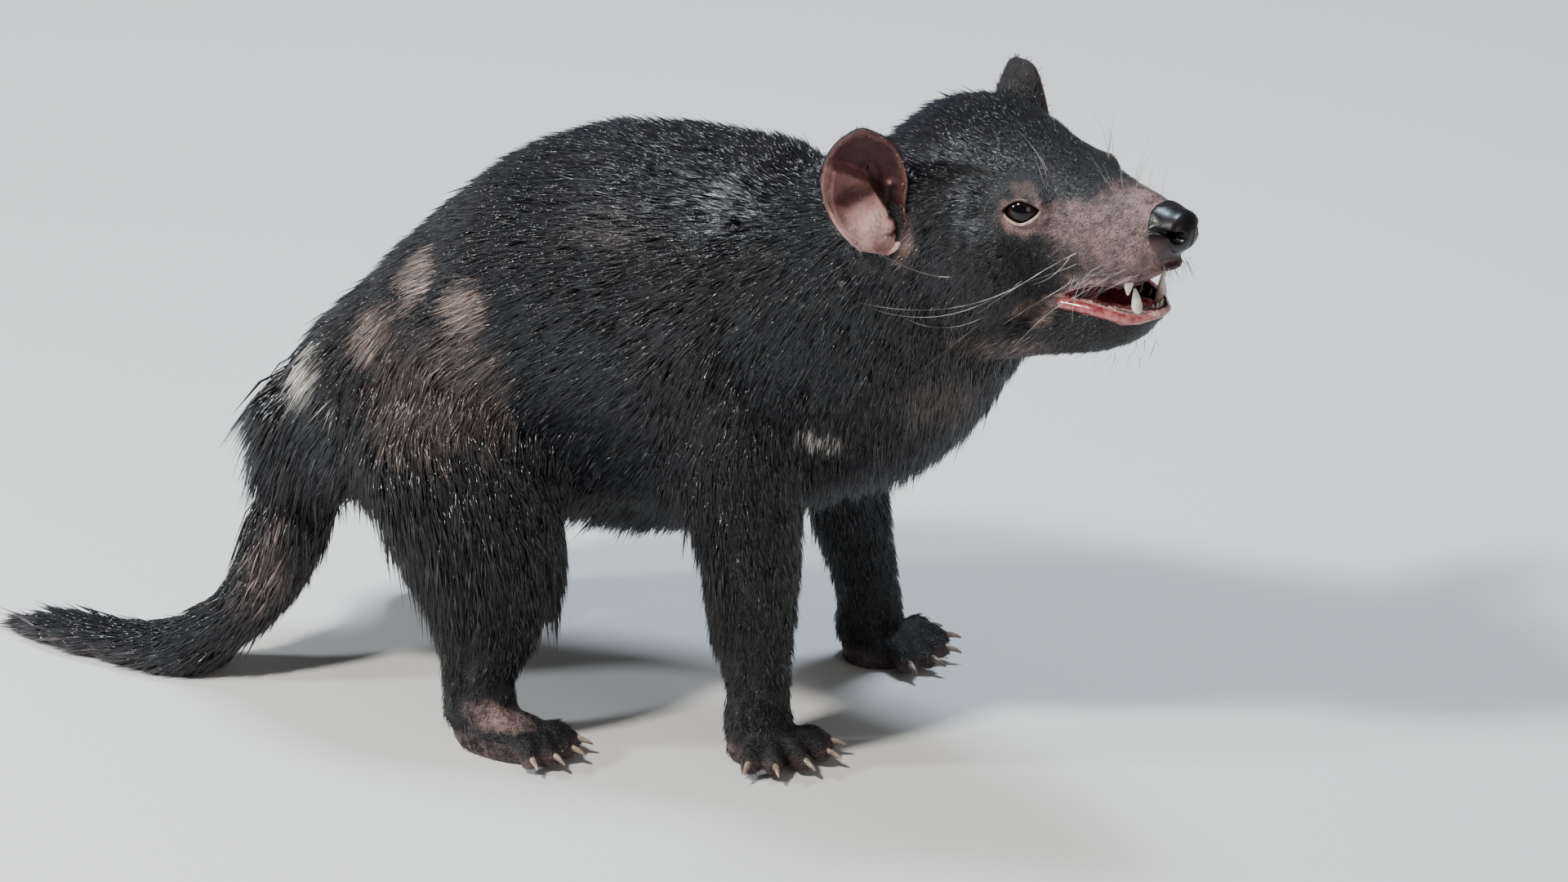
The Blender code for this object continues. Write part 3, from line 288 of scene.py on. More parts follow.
def soften(made, weights, rounds):
    # Each point moves part of the way to the mean of its neighbours, by its weight, again and again.
    places = readPoints(made)
    a, b = readEdges(made)
    count = np.bincount(a, minlength=len(places)) + np.bincount(b, minlength=len(places))
    share = (0.5 * weights / np.maximum(count, 1))[:, None]
    for _ in range(rounds):
        total = np.stack([np.bincount(a, places[b, k], len(places)) + np.bincount(b, places[a, k], len(places))
                          for k in range(3)], axis=1)
        places = places + share * (total - count[:, None] * places)
    writePoints(made, places)


def smoothStep(value, low, high):
    # 0 below low, 1 above high, and an even curve between them.
    t = np.clip((value - low) / (high - low), 0, 1)
    return t * t * (3 - 2 * t)


ears = {
    "halfHeight": 0.0330, "halfWidth": 0.0202, "depth": 0.0150, "wall": 0.0020,
    "right": ((-0.0128, -0.0660, 0.0100), (0.72, -0.69, -0.05), (-0.04, -0.17, 0.98)),
    "left": ((-0.0110, 0.0600, 0.0050), (0.46, 0.88, 0.06), (-0.16, 0.20, 0.95)),
    "squarerTop": 0.13,    # how much further the left rim's upper corners reach
    # The rim's reach at angles from the front, up positive.
    "outline": ((-180, 1.02), (-153, 0.91), (-128, 0.86), (-99, 0.87), (-72, 1.05), (-48, 1.10), (-36, 1.03),
                (-20, 0.88), (0, 0.98), (32, 1.07), (58, 1.03), (90, 1.0), (117, 1.0), (147, 1.07), (180, 1.02)),
}

# The body's forms. Trunk: x, y, top, bottom and half width, made rows of x, y, z, half width, up, down.
trunkRows = [(x, y, bottom + 0.46 * (top - bottom), wide, 0.54 * (top - bottom), 0.46 * (top - bottom))
             for x, y, top, bottom, wide in (
    (-0.146, -0.020, 0.150, 0.086, 0.032), (-0.128, -0.014, 0.176, 0.078, 0.052),
    (-0.095, -0.006, 0.215, 0.079, 0.068), (-0.050, 0.003, 0.255, 0.085, 0.077),
    (0.000, 0.007, 0.275, 0.090, 0.081), (0.050, 0.006, 0.279, 0.090, 0.081),
    (0.095, 0.002, 0.276, 0.096, 0.077), (0.122, -0.003, 0.266, 0.115, 0.064))]
neckRows = [(0.085, 0.003, 0.195, 0.072, 0.074, 0.082), (0.125, -0.002, 0.209, 0.070, 0.068, 0.083),
            (0.160, -0.008, 0.233, 0.064, 0.057, 0.072), (0.185, -0.014, 0.256, 0.058, 0.045, 0.059)]
# Head rows in the head's frame: x, top, bottom, half width. Swellings: the left one's place and half sizes.
skullSides = ((-0.046, 0.010, -0.050, 0.044), (-0.025, 0.033, -0.063, 0.056), (0.000, 0.041, -0.070, 0.059),
              (0.025, 0.0365, -0.068, 0.052), (0.045, 0.0310, -0.061, 0.0415), (0.062, 0.0262, -0.050, 0.0330),
              (0.076, 0.0218, -0.042, 0.0282), (0.088, 0.0180, -0.034, 0.0245), (0.100, 0.0165, -0.029, 0.0195),
              (0.109, 0.0160, -0.020, 0.0155), (0.116, 0.0140, -0.0085, 0.0110))
jawSides = ((0.030, -0.045, -0.078, 0.040), (0.050, -0.038, -0.072, 0.037), (0.070, -0.0300, -0.0665, 0.0310),
            (0.085, -0.0300, -0.0615, 0.0235), (0.095, -0.0300, -0.0560, 0.0165),
            (0.103, -0.0300, -0.0470, 0.0095))
swellings = {"brow": ((0.050, 0.0250, 0.0095), (0.013, 0.010, 0.0095)),
             "cheek": ((0.020, 0.036, -0.024), (0.036, 0.022, 0.034)),
             "whiskerPad": ((0.094, 0.0140, -0.0080), (0.015, 0.0090, 0.0105))}
gape = ((0.066, -0.0326, -0.0336), (0.073, -0.0285, -0.0340), (0.080, -0.0247, -0.0346),
        (0.088, -0.0224, -0.0362), (0.096, -0.0222, -0.0388), (0.102, -0.0194, -0.0400),
        (0.109, -0.0160, -0.0368), (0.116, -0.0140, -0.0360), (0.150, -0.0130, -0.0360))    # x, upper, lower
lipBand = ((0.066, 0.0004), (0.074, 0.0022), (0.083, 0.0038), (0.094, 0.0052), (0.101, 0.0028),
           (0.110, 0.0014))    # x, and how deep the pink of the lower lip is there
mouthHollow = ((0.046, 0, -0.034, 0.010, 0.006, 0.008), (0.062, 0, -0.032, 0.018, 0.010, 0.012),
               (0.080, 0, -0.029, 0.017, 0.013, 0.016), (0.096, 0, -0.028, 0.011, 0.012, 0.013),
               (0.103, 0, -0.027, 0.007, 0.009, 0.010))
# Leg rows from the top down: x, y, z, half width, forward, back.
legRows = {
    "forelegRight": ((0.082, -0.044, 0.185, 0.030, 0.043, 0.040), (0.092, -0.054, 0.140, 0.027, 0.034, 0.032),
                     (0.099, -0.059, 0.100, 0.023, 0.026, 0.026), (0.102, -0.061, 0.062, 0.0185, 0.021, 0.022),
                     (0.104, -0.061, 0.032, 0.0150, 0.016, 0.017), (0.104, -0.060, 0.016, 0.0155, 0.016, 0.018)),
    "forelegLeft": ((0.084, 0.044, 0.185, 0.028, 0.040, 0.038), (0.094, 0.055, 0.140, 0.025, 0.031, 0.029),
                    (0.101, 0.062, 0.100, 0.021, 0.023, 0.023), (0.106, 0.067, 0.062, 0.0175, 0.019, 0.020),
                    (0.111, 0.070, 0.032, 0.0150, 0.016, 0.017), (0.112, 0.070, 0.016, 0.0155, 0.016, 0.018)),
    "hindlegRight": ((-0.070, -0.036, 0.168, 0.028, 0.046, 0.042), (-0.046, -0.056, 0.130, 0.034, 0.057, 0.050),
                     (-0.028, -0.070, 0.090, 0.030, 0.042, 0.038), (-0.023, -0.078, 0.056, 0.023, 0.028, 0.027),
                     (-0.025, -0.084, 0.030, 0.017, 0.018, 0.019), (-0.024, -0.087, 0.016, 0.016, 0.018, 0.018)),
    "hindlegLeft": ((-0.078, 0.032, 0.168, 0.028, 0.044, 0.040), (-0.072, 0.049, 0.130, 0.034, 0.055, 0.044),
                    (-0.082, 0.058, 0.090, 0.029, 0.040, 0.034), (-0.096, 0.062, 0.056, 0.021, 0.025, 0.023),
                    (-0.104, 0.064, 0.030, 0.017, 0.018, 0.018), (-0.104, 0.064, 0.016, 0.016, 0.018, 0.017)),
}
tailRows = [(x, y, z, radius, radius, radius) for x, y, z, radius in (
    (-0.118, -0.018, 0.135, 0.026), (-0.134, -0.026, 0.092, 0.023), (-0.143, -0.038, 0.058, 0.020),
    (-0.160, -0.049, 0.031, 0.0165), (-0.186, -0.053, 0.0145, 0.0140), (-0.218, -0.050, 0.0095, 0.0105),
    (-0.246, -0.043, 0.0060, 0.0098), (-0.268, -0.037, 0.0040, 0.0030))]
# Paws: half sizes, and each toe's thickness, reach, spread and share of the reach. Then place and heading.
forepaw = {"length": 0.018, "width": 0.0175, "height": 0.015, "toe": 0.0052, "reach": 0.0205,
           "spread": (-52, -25, 0, 25, 52), "lengths": (0.74, 0.95, 1.0, 0.95, 0.74)}
hindpaw = {"length": 0.029, "width": 0.0165, "height": 0.014, "toe": 0.0055, "reach": 0.0200,
           "spread": (-30, -10, 10, 30), "lengths": (0.88, 1.0, 1.0, 0.85)}
paws = {"forepawRight": (forepaw, (0.106, -0.059), -33), "forepawLeft": (forepaw, (0.116, 0.071), 8),
        "hindpawRight": (hindpaw, (-0.010, -0.092), -20), "hindpawLeft": (hindpaw, (-0.086, 0.067), 10)}


def headRows(sides):
    # Tube rows from the head's side view.
    return [(x, 0, (top + low) / 2, wide, (top - low) / 2, (top - low) / 2) for x, top, low, wide in sides]


def headForm(form):
    # A form of the head's frame, carried into the body's.
    points, quads, triangles = form
    return inHead(points), quads, triangles


def toePath(paw, angle, share):
    # Three places along a toe: inside the sole, over its joint, and at the claw's root.
    out = np.array([math.cos(math.radians(angle)), math.sin(math.radians(angle)), 0])
    root = np.array([paw["length"] * 0.45, paw["width"] * 0.62 * math.sin(math.radians(angle * 1.25)), 0.008])
    reach = paw["reach"] * share
    return [root, root + out * reach * 0.55 + (0, 0, 0.0030), root + out * reach - (0, 0, 0.0020)]


def pawForms(name):
    # A sole and its toes: an ellipsoid, and a bent tube with a knuckle for each toe.
    paw, (x, y), heading = paws[name]
    forms = [ellipsoid((0, 0, 0.006), (paw["length"], paw["width"], paw["height"]))]
    for angle, share in zip(paw["spread"], paw["lengths"]):
        rows = [(*place, paw["toe"] * k, paw["toe"] * k, paw["toe"] * k)
                for place, k in zip(toePath(paw, angle, share), (0.95, 1.0, 0.88))]
        forms.append(tube(rows, (0, 0, 1), (0.004, 0.0045), sides=24, step=0.0015))
    turn = turnAbout("z", heading)
    return [(points @ turn.T + (x, y, 0), quads, triangles) for points, quads, triangles in forms]


def block(centre, sizes, turn):
    # A box with a centre, half sizes and a rotation.
    corners = np.array([(i, j, k) for i in (-1, 1) for j in (-1, 1) for k in (-1, 1)]) * np.array(sizes)
    faces = np.array([(0, 1, 3, 2), (4, 6, 7, 5), (0, 4, 5, 1), (2, 3, 7, 6), (0, 2, 6, 4), (1, 5, 7, 3)])
    return corners @ turn.T + np.array(centre), faces, np.empty((0, 3), int)


def floorBlock(top):
    # A wide box from well below the floor up to a height.
    return addMesh("floorBlock", *block((0, 0, top - 0.1), (0.6, 0.4, 0.1), np.eye(3)))


def pawBlocks():
    # Four boxes, each round one paw up to its ankle.
    return addMesh("pawBlocks", *merge([block((x, y, -0.0739), (0.048, 0.036, 0.1), turnAbout("z", heading))
                                        for _, (x, y), heading in paws.values()]))


def headBlock(centre, sizes, pitch):
    # A box of the head's frame, turned by its pitch.
    return addMesh("headBlock", *headForm(block(centre, sizes, turnAbout("y", pitch))))


def mouthCutter():
    # The open mouth: the side view of its gap drawn out sideways, and a hollow tube behind the teeth.
    outline = [(x, upper) for x, upper, _ in gape] + [(x, lower) for x, _, lower in reversed(gape)]
    count = len(outline)
    points = [(x, y, z) for y in (-0.06, 0.06) for x, z in outline]
    quads = [(j, j + count, (j + 1) % count + count, (j + 1) % count) for j in range(count)]
    wedge = addMesh("gape", inHead(points), quads, [tuple(range(count))],
                    [tuple(reversed(range(count, 2 * count)))])
    hollow = addMesh("hollow", *headForm(tube(mouthHollow, (0, 0, 1), (0.006, 0.004), 2.4)))
    return boolean(wedge, hollow, "UNION")


def widthAt(sides, x, z):
    # Half width of a head form where its surface passes a given x and z.
    rows = smoothRows([(s[0], 0, 0, *s[1:]) for s in sides], 0.002)
    top, low, wide = (np.interp(x, rows[:, 0], rows[:, k]) for k in (3, 4, 5))
    return wide * max(0.0, 1 - (abs(z - (top + low) / 2) / ((top - low) / 2)) ** 2.2) ** (1 / 2.2)


def lipPath(sides, edge, front, inset):
    # Places along one edge of the mouth, from the right corner round the front to the left corner.
    side = [(x, widthAt(sides, x, z) - inset, z) for x, z in
            ((x, float(np.interp(x, [g[0] for g in gape], [g[edge] for g in gape])))
             for x in np.linspace(0.070, front[0] - 0.006, 9))]
    return side + [(front[0], 0, front[1])] + [(x, -y, z) for x, y, z in reversed(side)]


lips = {"upper": 0.0014, "lower": 0.0021, "upperFront": (0.1140, -0.0150), "lowerFront": (0.1080, -0.0378),
        "tall": 1.1, "inset": 0.7}    # the last two as shares of a lip's thickness


def lipForms():
    # A roll along each edge of the mouth.
    forms = []
    for sides, edge, front, thick in ((skullSides, 1, lips["upperFront"], lips["upper"]),
                                      (jawSides, 2, lips["lowerFront"], lips["lower"])):
        path = lipPath(sides, edge, front, lips["inset"] * thick)
        rows = [(*place, thick, thick * lips["tall"], thick * lips["tall"]) for place in path]
        forms.append(headForm(tube(rows, (0, 0, 1), (thick, thick), 2.0, sides=16, step=0.002)))
    return forms


def faceShare(points):
    # How far a place lies inside the face: over 1 well inside.
    local = fromBody(points)
    return (local[:, 0] + 0.5 * local[:, 2]) / 0.03


def bodyShare(points):
    # 1 on the trunk, neck and upper limbs, falling to 0 on the face and the feet.
    feet = np.clip((0.045 - points[:, 2]) / 0.02, 0, 1)
    return 1 - np.maximum(np.clip(faceShare(points), 0, 1), feet)


# The coat's field: each form says how the hair lies on it, how long and how deep it is.
# slant is how far it turns from along the form towards straight down, on top, at the side and below.
coatForms = {
    "trunk": {"rows": trunkRows, "up": (0, 0, 1), "upright": True, "flow": -1, "slant": (14, 44, 62),
              "length": (0.023, 0.019, 0.016), "depth": (0.0060, 0.0070, 0.0060), "width": 0.00105, "clump": 0.34},
    "neck": {"rows": neckRows, "up": (0, 0, 1), "flow": -1, "slant": (20, 62, 76),
             "length": (0.018, 0.016, 0.013), "depth": (0.0060, 0.0065, 0.0050), "width": 0.00095, "clump": 0.40},
    "skull": {"rows": headRows(skullSides), "head": True, "up": (0, 0, 1), "upright": True, "flow": -1,
              "slant": (4, 34, 48), "length": (0.0155, 0.0130, 0.0095, 0.0064, 0.0038, 0.0022),
              "depth": (0.0058, 0.0048, 0.0034, 0.0018, 0.0006, 0.0002), "width": 0.00070, "clump": 0.25},
    "jaw": {"rows": headRows(jawSides), "head": True, "up": (0, 0, 1), "upright": True, "flow": -1,
            "slant": (20, 34, 34), "length": (0.012, 0.009, 0.0040), "depth": (0.0030, 0.0020, 0.0007),
            "width": 0.00065, "clump": 0.25},
    "tail": {"rows": tailRows, "up": (0, 1, 0), "flow": 1, "slant": (0, 0, 0),
             "length": (0.018, 0.022, 0.024), "depth": (0.0035, 0.0045, 0.0020), "width": 0.00095, "clump": 0.55},
}
for legName, rows in legRows.items():
    fore = legName.startswith("fore")
    coatForms[legName] = {"rows": rows, "up": (1, 0, 0), "flow": 1, "slant": (10, 10, 10),
                          "length": (0.018, 0.015, 0.0065) if fore else (0.020, 0.020, 0.0070),
                          "depth": (0.0060, 0.0042, 0.0012) if fore else (0.0060, 0.0055, 0.0012),
                          "width": 0.00090, "clump": 0.45 if fore else 0.65}
for pawName, (paw, (x, y), heading) in paws.items():
    out = np.array([math.cos(math.radians(heading)), math.sin(math.radians(heading)), 0])
    heel, ball = np.array([x, y, 0.008]) - out * paw["length"], np.array([x, y, 0.006]) + out * paw["length"]
    coatForms[pawName] = {"rows": [(*(heel + (ball - heel) * k), paw["width"], 0.011, 0.008) for k in (0, 0.5, 1)],
                          "up": (0, 0, 1), "flow": 1, "slant": (16, 16, 16),
                          "length": (0.0065, 0.0055, 0.0035), "depth": (0.0009, 0.0007, 0.0004),
                          "width": 0.00055, "clump": 0.2}
pathStep = 0.008    # between the rows of a form's path
for form in coatForms.values():
    rows = smoothRows(form["rows"], pathStep)
    if form.get("head"):
        rows[:, :3] = inHead(rows[:, :3])
    tangents, across, rise = ringAxes(rows, form["up"], form.get("upright", False))
    form.update(path=rows[:, :3], radii=rows[:, 3:6], tangents=tangents, across=across, rise=rise)
# Places where the coat hangs longer: place, half sizes, how many times as long, and how far the tips droop.
shaggyPlaces = (
    ((0.020, -0.040, 0.088), (0.060, 0.030, 0.024), 1.5, 0.55),
    ((0.020, 0.040, 0.088), (0.060, 0.030, 0.024), 1.5, 0.55),
    ((0.165, -0.012, 0.140), (0.060, 0.060, 0.050), 1.4, 0.35),
    ((-0.150, -0.020, 0.125), (0.040, 0.050, 0.050), 1.5, 0.45),
    ((-0.065, -0.085, 0.085), (0.050, 0.035, 0.045), 1.45, 0.45),
    ((-0.120, 0.065, 0.085), (0.045, 0.035, 0.045), 1.45, 0.45),
    ((0.133, -0.056, 0.165), (0.015, 0.014, 0.008), 0.5, 0.0),
    ((-0.131, -0.044, 0.156), (0.012, 0.020, 0.014), 0.75, 0.0),
    ((0.172, -0.010, 0.312), (0.032, 0.032, 0.014), 1.4, 0.0),
    ((0.072, -0.060, 0.100), (0.022, 0.025, 0.040), 1.5, 0.3),
    ((0.074, 0.062, 0.100), (0.022, 0.025, 0.040), 1.5, 0.3),
)


def nearForm(form, points):
    # For each point: the share along the form, the angle round it, the distance from its surface and the
    # number of the nearest row. The points are read in batches to spare the memory.
    near, batch = np.empty(len(points), int), 40000
    for start in range(0, len(points), batch):
        part = points[start:start + batch]
        near[start:start + batch] = ((part[:, None] - form["path"][None]) ** 2).sum(-1).argmin(1)
    offset = points - form["path"][near]
    side = (offset * form["across"][near]).sum(-1)
    height = (offset * form["rise"][near]).sum(-1)
    radii = form["radii"][near]
    angle = np.arctan2(height / np.where(height > 0, radii[:, 1], radii[:, 2]), side / radii[:, 0])
    reach = np.sqrt((radii[:, 0] * np.cos(angle)) ** 2
                    + (np.where(height > 0, radii[:, 1], radii[:, 2]) * np.sin(angle)) ** 2)
    distance = np.maximum(np.linalg.norm(offset, axis=1) - reach, 0)
    along = near + (offset * form["tangents"][near]).sum(-1) / pathStep
    return np.clip(along / (len(form["path"]) - 1), 0, 1), angle, distance, near


def earReach(local, deep=0.018):
    # 0 at the middle of the nearer ear's opening, 1 at its rim and more away from it. It grows again from half
    # of the given depth before and behind the ear. The places are of the head's frame.
    found = np.full(len(local), 9.0)
    for word in ("right", "left"):
        centre, facing, up = ears[word]
        spot = (local - np.array(centre)) @ framed(facing, up)
        away = np.maximum(np.abs(spot[:, 0]) - 0.5 * deep, 0) / (0.5 * deep)
        reach = np.sqrt((spot[:, 1] / ears["halfWidth"]) ** 2 + (spot[:, 2] / ears["halfHeight"]) ** 2 + away**2)
        found = np.minimum(found, reach)
    return found


def coatField(points, normals):
    # At each point the forms' own hair is mixed by how near each form's surface is, then laid on the skin.
    lie, total = np.zeros_like(points), np.zeros(len(points))
    values = {key: np.zeros(len(points)) for key in ("length", "depth", "width", "clump")}
    best, owner = np.full(len(points), -1.0), np.zeros(len(points), int)
    shares, angles = np.zeros(len(points)), np.zeros(len(points))
    for number, form in enumerate(coatForms.values()):
        share, angle, distance, near = nearForm(form, points)
        weight = 1 / (distance + 0.004) ** 3
        slant = np.interp(np.sin(angle), (-1, 0, 1), form["slant"][::-1])
        if form is coatForms["trunk"]:
            slant = slant + 26 * smoothStep(points[:, 0], 0.085, 0.13) + 30 * smoothStep(-points[:, 0], 0.08, 0.15)
        slant = np.radians(slant)[:, None]
        way = np.cos(slant) * form["tangents"][near] * form["flow"] + np.sin(slant) * np.array([0, 0, -1.0])
        lie += way * weight[:, None]
        for key in ("length", "depth"):
            values[key] += weight * np.interp(share, np.linspace(0, 1, len(form[key])), form[key])
        for key in ("width", "clump"):
            values[key] += weight * form[key]
        closer = weight > best
        best[closer], owner[closer] = weight[closer], number
        shares[closer], angles[closer] = share[closer], angle[closer]
        total += weight
    for key in values:
        values[key] /= total
    toEye = np.linalg.norm(folded(fromBody(points)) - np.array(eyes["place"]), axis=1)
    values["depth"] *= 0.04 + 0.96 * smoothStep(toEye, 0.012, 0.021)
    values["length"] *= 0.35 + 0.65 * smoothStep(toEye, 0.012, 0.024)
    toEar = smoothStep(earReach(fromBody(points)), 0.9, 1.45)
    values["depth"] *= 0.25 + 0.75 * toEar
    values["length"] *= 0.50 + 0.50 * toEar
    droop = np.zeros(len(points))
    for place, sizes, longer, hang in shaggyPlaces:
        inside = 1 - smoothStep(np.linalg.norm((points - place) / sizes, axis=1), 0.6, 1.5)
        values["length"] *= 1 + (longer - 1) * inside
        droop = np.maximum(droop, hang * inside)
    flat = lie - (lie * normals).sum(-1, keepdims=True) * normals
    values.update(lie=unit(flat), droop=droop, owner=owner, share=shares, angle=angles)
    return values


# Markings, each a soft ellipsoid: place, half sizes, strength. Those of the head are in its own frame.
bodyMarkings = {
    "white": (((-0.1310, -0.046, 0.1560), (0.0120, 0.024, 0.0165), 1.0),
              ((-0.1050, -0.064, 0.1450), (0.0035, 0.008, 0.0050), 0.7),
              ((0.1330, -0.058, 0.1630), (0.0110, 0.014, 0.0040), 1.0)),
    "brown": (((-0.0730, -0.046, 0.2090), (0.0110, 0.022, 0.0180), 1.0),
              ((-0.0920, -0.057, 0.1840), (0.015, 0.022, 0.0130), 1.0),
              ((-0.0390, -0.067, 0.2030), (0.0120, 0.022, 0.0140), 0.9),
              ((-0.0560, -0.080, 0.1680), (0.048, 0.030, 0.0380), 0.36),
              ((0.0300, -0.052, 0.2460), (0.022, 0.020, 0.0110), 0.17),
              ((0.1540, -0.039, 0.1390), (0.007, 0.010, 0.0080), 0.7),
              ((0.1850, -0.040, 0.1850), (0.020, 0.030, 0.0200), 0.25),
              ((-0.0200, 0.075, 0.1900), (0.030, 0.020, 0.0200), 0.35)),
    "bare": (((-0.1400, -0.058, 0.0720), (0.018, 0.016, 0.0340), 0.75),
             ((-0.0080, -0.101, 0.0190), (0.016, 0.010, 0.0080), 0.8)),
}
headMarkings = {
    "bare": (((0.1000, 0, -0.0010), (0.0300, 0.0400, 0.0230), 1.0),
             ((0.0720, 0.024, 0.0020), (0.0150, 0.012, 0.0130), 0.8),
             ((0.0525, 0.033, 0.0052), (0.0128, 0.012, 0.0098), 1.0),
             ((0.0800, 0.026, -0.0240), (0.0150, 0.010, 0.0070), 0.6),
             ((0.0640, 0.028, -0.0360), (0.0070, 0.010, 0.0050), 0.7)),
    "brown": (((0.0500, 0.031, 0.0175), (0.0085, 0.007, 0.0050), 0.50),
              ((0.0400, 0.020, -0.0650), (0.0350, 0.030, 0.0140), 0.35),
              ((0.0700, 0.022, -0.0100), (0.0160, 0.012, 0.0100), 0.35),
              ((0.0010, 0.058, -0.0100), (0.0055, 0.010, 0.0130), 0.9),
              ((0.0560, 0.032, -0.0420), (0.0110, 0.012, 0.0060), 0.7)),
}


def ripple(points, scale, seed):
    # Soft noise of a place: a sum of sine waves whose directions and phases are drawn once.
    draw = np.random.default_rng(seed)
    waves = draw.normal(size=(7, 3)) * scale
    return np.sin(points @ waves.T + draw.uniform(0, 2 * np.pi, 7)).sum(axis=1) / 7


def patch(points, place, sizes, strength):
    # One marking: full inside its ellipsoid, none outside, with a soft and uneven edge.
    reach = np.linalg.norm((points - np.array(place)) / np.array(sizes), axis=1)
    return strength * (1 - smoothStep(reach + 0.35 * ripple(points, 260, 3), 0.55, 1.35))


def lipDistance(local):
    # How far a place of the head's frame is from the nearer edge of the mouth, and how far above the lower
    # edge and below the upper one.
    x, z = local[:, 0], local[:, 2]
    upper, lower = (np.interp(x, [g[0] for g in gape], [g[k] for g in gape]) for k in (1, 2))
    return np.minimum(np.abs(z - upper), np.abs(z - lower)), z - lower, upper - z


def markings(points):
    # Bare skin, worn brown, white and wet, each from 0 to 1, as four columns. Wet is 0.5 on the pink lip.
    found = {"bare": np.zeros(len(points)), "brown": np.zeros(len(points)), "white": np.zeros(len(points))}
    for key, rows in bodyMarkings.items():
        for place, sizes, strength in rows:
            found[key] = np.maximum(found[key], patch(points, place, sizes, strength))
    local = fromBody(points)
    for key, rows in headMarkings.items():
        for place, sizes, strength in rows:
            found[key] = np.maximum(found[key], patch(folded(local), place, sizes, strength))
    edge, above, below = lipDistance(local)
    front = smoothStep(local[:, 0], 0.060, 0.068) * (np.abs(local[:, 1]) < 0.05) * (local[:, 0] < 0.13)
    found["bare"] = np.maximum(found["bare"], front * (1 - smoothStep(edge, 0.0015, 0.0035)))
    band = np.interp(local[:, 0], [b[0] for b in lipBand], [b[1] for b in lipBand])
    pink = front * smoothStep(-above, -0.0016, -0.0006) * (1 - smoothStep(-above, band - 0.0008, band + 0.0010))
    half = np.interp(local[:, 0], [s[0] for s in jawSides], [s[3] for s in jawSides]) - 0.0040
    inside = (above > 0.0004) & (below > 0.0004) & (np.abs(local[:, 1]) < half) & (local[:, 0] < 0.106)
    hollow = np.linalg.norm((local - (0.072, 0, -0.031)) / (0.038, 0.019, 0.016), axis=1) < 1
    wet = np.where((inside | hollow) & (local[:, 0] > 0.03), 1.0, 0.5 * pink)
    nearToes = (1 - smoothStep(points[:, 2], 0.004, 0.015)) * 0.55
    found["bare"] = np.maximum(found["bare"], nearToes * (ripple(points, 420, 5) * 0.4 + 0.8))
    return np.clip(np.stack((found["bare"], found["brown"], found["white"], wet), axis=1), 0, 1)


def setColours(made, name, values):
    # Keeps four numbers for each point, which the materials read by name.
    kept = made.data.attributes.new(name, "FLOAT_COLOR", "POINT")
    kept.data.foreach_set("color", values.astype(np.float32).ravel())


skinSettings = {
    "voxel": 0.0016, "pawVoxel": 0.0013, "fineVoxel": 0.0010,
    "ankle": 0.0265,                                     # where the paws, made apart, join the limbs
    # Rounds of softening: the masses, the face and feet, the toes, the whole, lids and ankles, the body again.
    "rounds": {"masses": 36, "rest": 4, "toes": 3, "whole": 2, "edges": 10, "body": 8},
    "earSink": 0.0045,                                   # how much deeper the skin lies inside an ear's cup
    "face": {"place": (0.128, 0, 0), "pitch": -12, "behind": 0.110, "above": 0.100},    # where it stays fine
    "pawTop": 0.030, "bodyTriangles": 50000, "pawTriangles": 38000,
}
# Nose: the block that cuts it off the muzzle. Nostril and slit rows are x, y, z, half width, up, down.
nosePad = {"voxel": 0.00045, "block": ((0.1296, 0, 0.0100), (0.022, 0.05, 0.045), -19), "swell": 0.0006,
           "groove": ((0.1265, 0, -0.0035), (0.0065, 0.00075, 0.0095))}
nostril = ((0.1290, 0.0060, 0.0030, 0.0030, 0.0026, 0.0030), (0.1180, 0.0078, 0.0030, 0.0030, 0.0026, 0.0030),
           (0.1130, 0.0066, 0.0034, 0.0016, 0.0014, 0.0016))
slit = ((0.1185, 0.0088, 0.0040, 0.0026, 0.0020, 0.0022), (0.1150, 0.0116, 0.0052, 0.0016, 0.0012, 0.0012),
        (0.1105, 0.0138, 0.0058, 0.0012, 0.0010, 0.0010), (0.1070, 0.0156, 0.0048, 0.0008, 0.0008, 0.0008))


def skullForm():
    # The skull and muzzle in one tube, from the nape to the nose.
    rows = headRows(skullSides)
    return headForm(tube(rows, (0, 0, 1), (0.03, 0.008), 2.08, sides=72, step=0.002, upright=True))


def nostrilCutters(grow):
    # Bent tubes for both nostrils and the slits beside them, wider all round by a measure.
    cutters = []
    for side in (1, -1):
        for table in (nostril, slit):
            rows = [(x, side * y, z, wide + grow, up + grow, down + grow) for x, y, z, wide, up, down in table]
            form = tube(rows, (0, 0, 1), (0.001, 0.001), 2.0, sides=24, step=0.001)
            cutters.append(addMesh("nostril", *headForm(form)))
    return cutters


def countTriangles(made):
    made.data.calc_loop_triangles()
    return len(made.data.loop_triangles)


def thin(made, free, triangles):
    # Fewer faces where the mask says so, about as many as asked for, and all of them elsewhere.
    total = countTriangles(made)
    inside = total * free.mean()
    group = made.vertex_groups.new(name="free")
    group.add(np.flatnonzero(free).tolist(), 1.0, "REPLACE")
    step = made.modifiers.new("thin", "DECIMATE")
    step.vertex_group, step.ratio = group.name, (total - inside + triangles) / total
    settle(made)
    made.vertex_groups.clear()
    return made


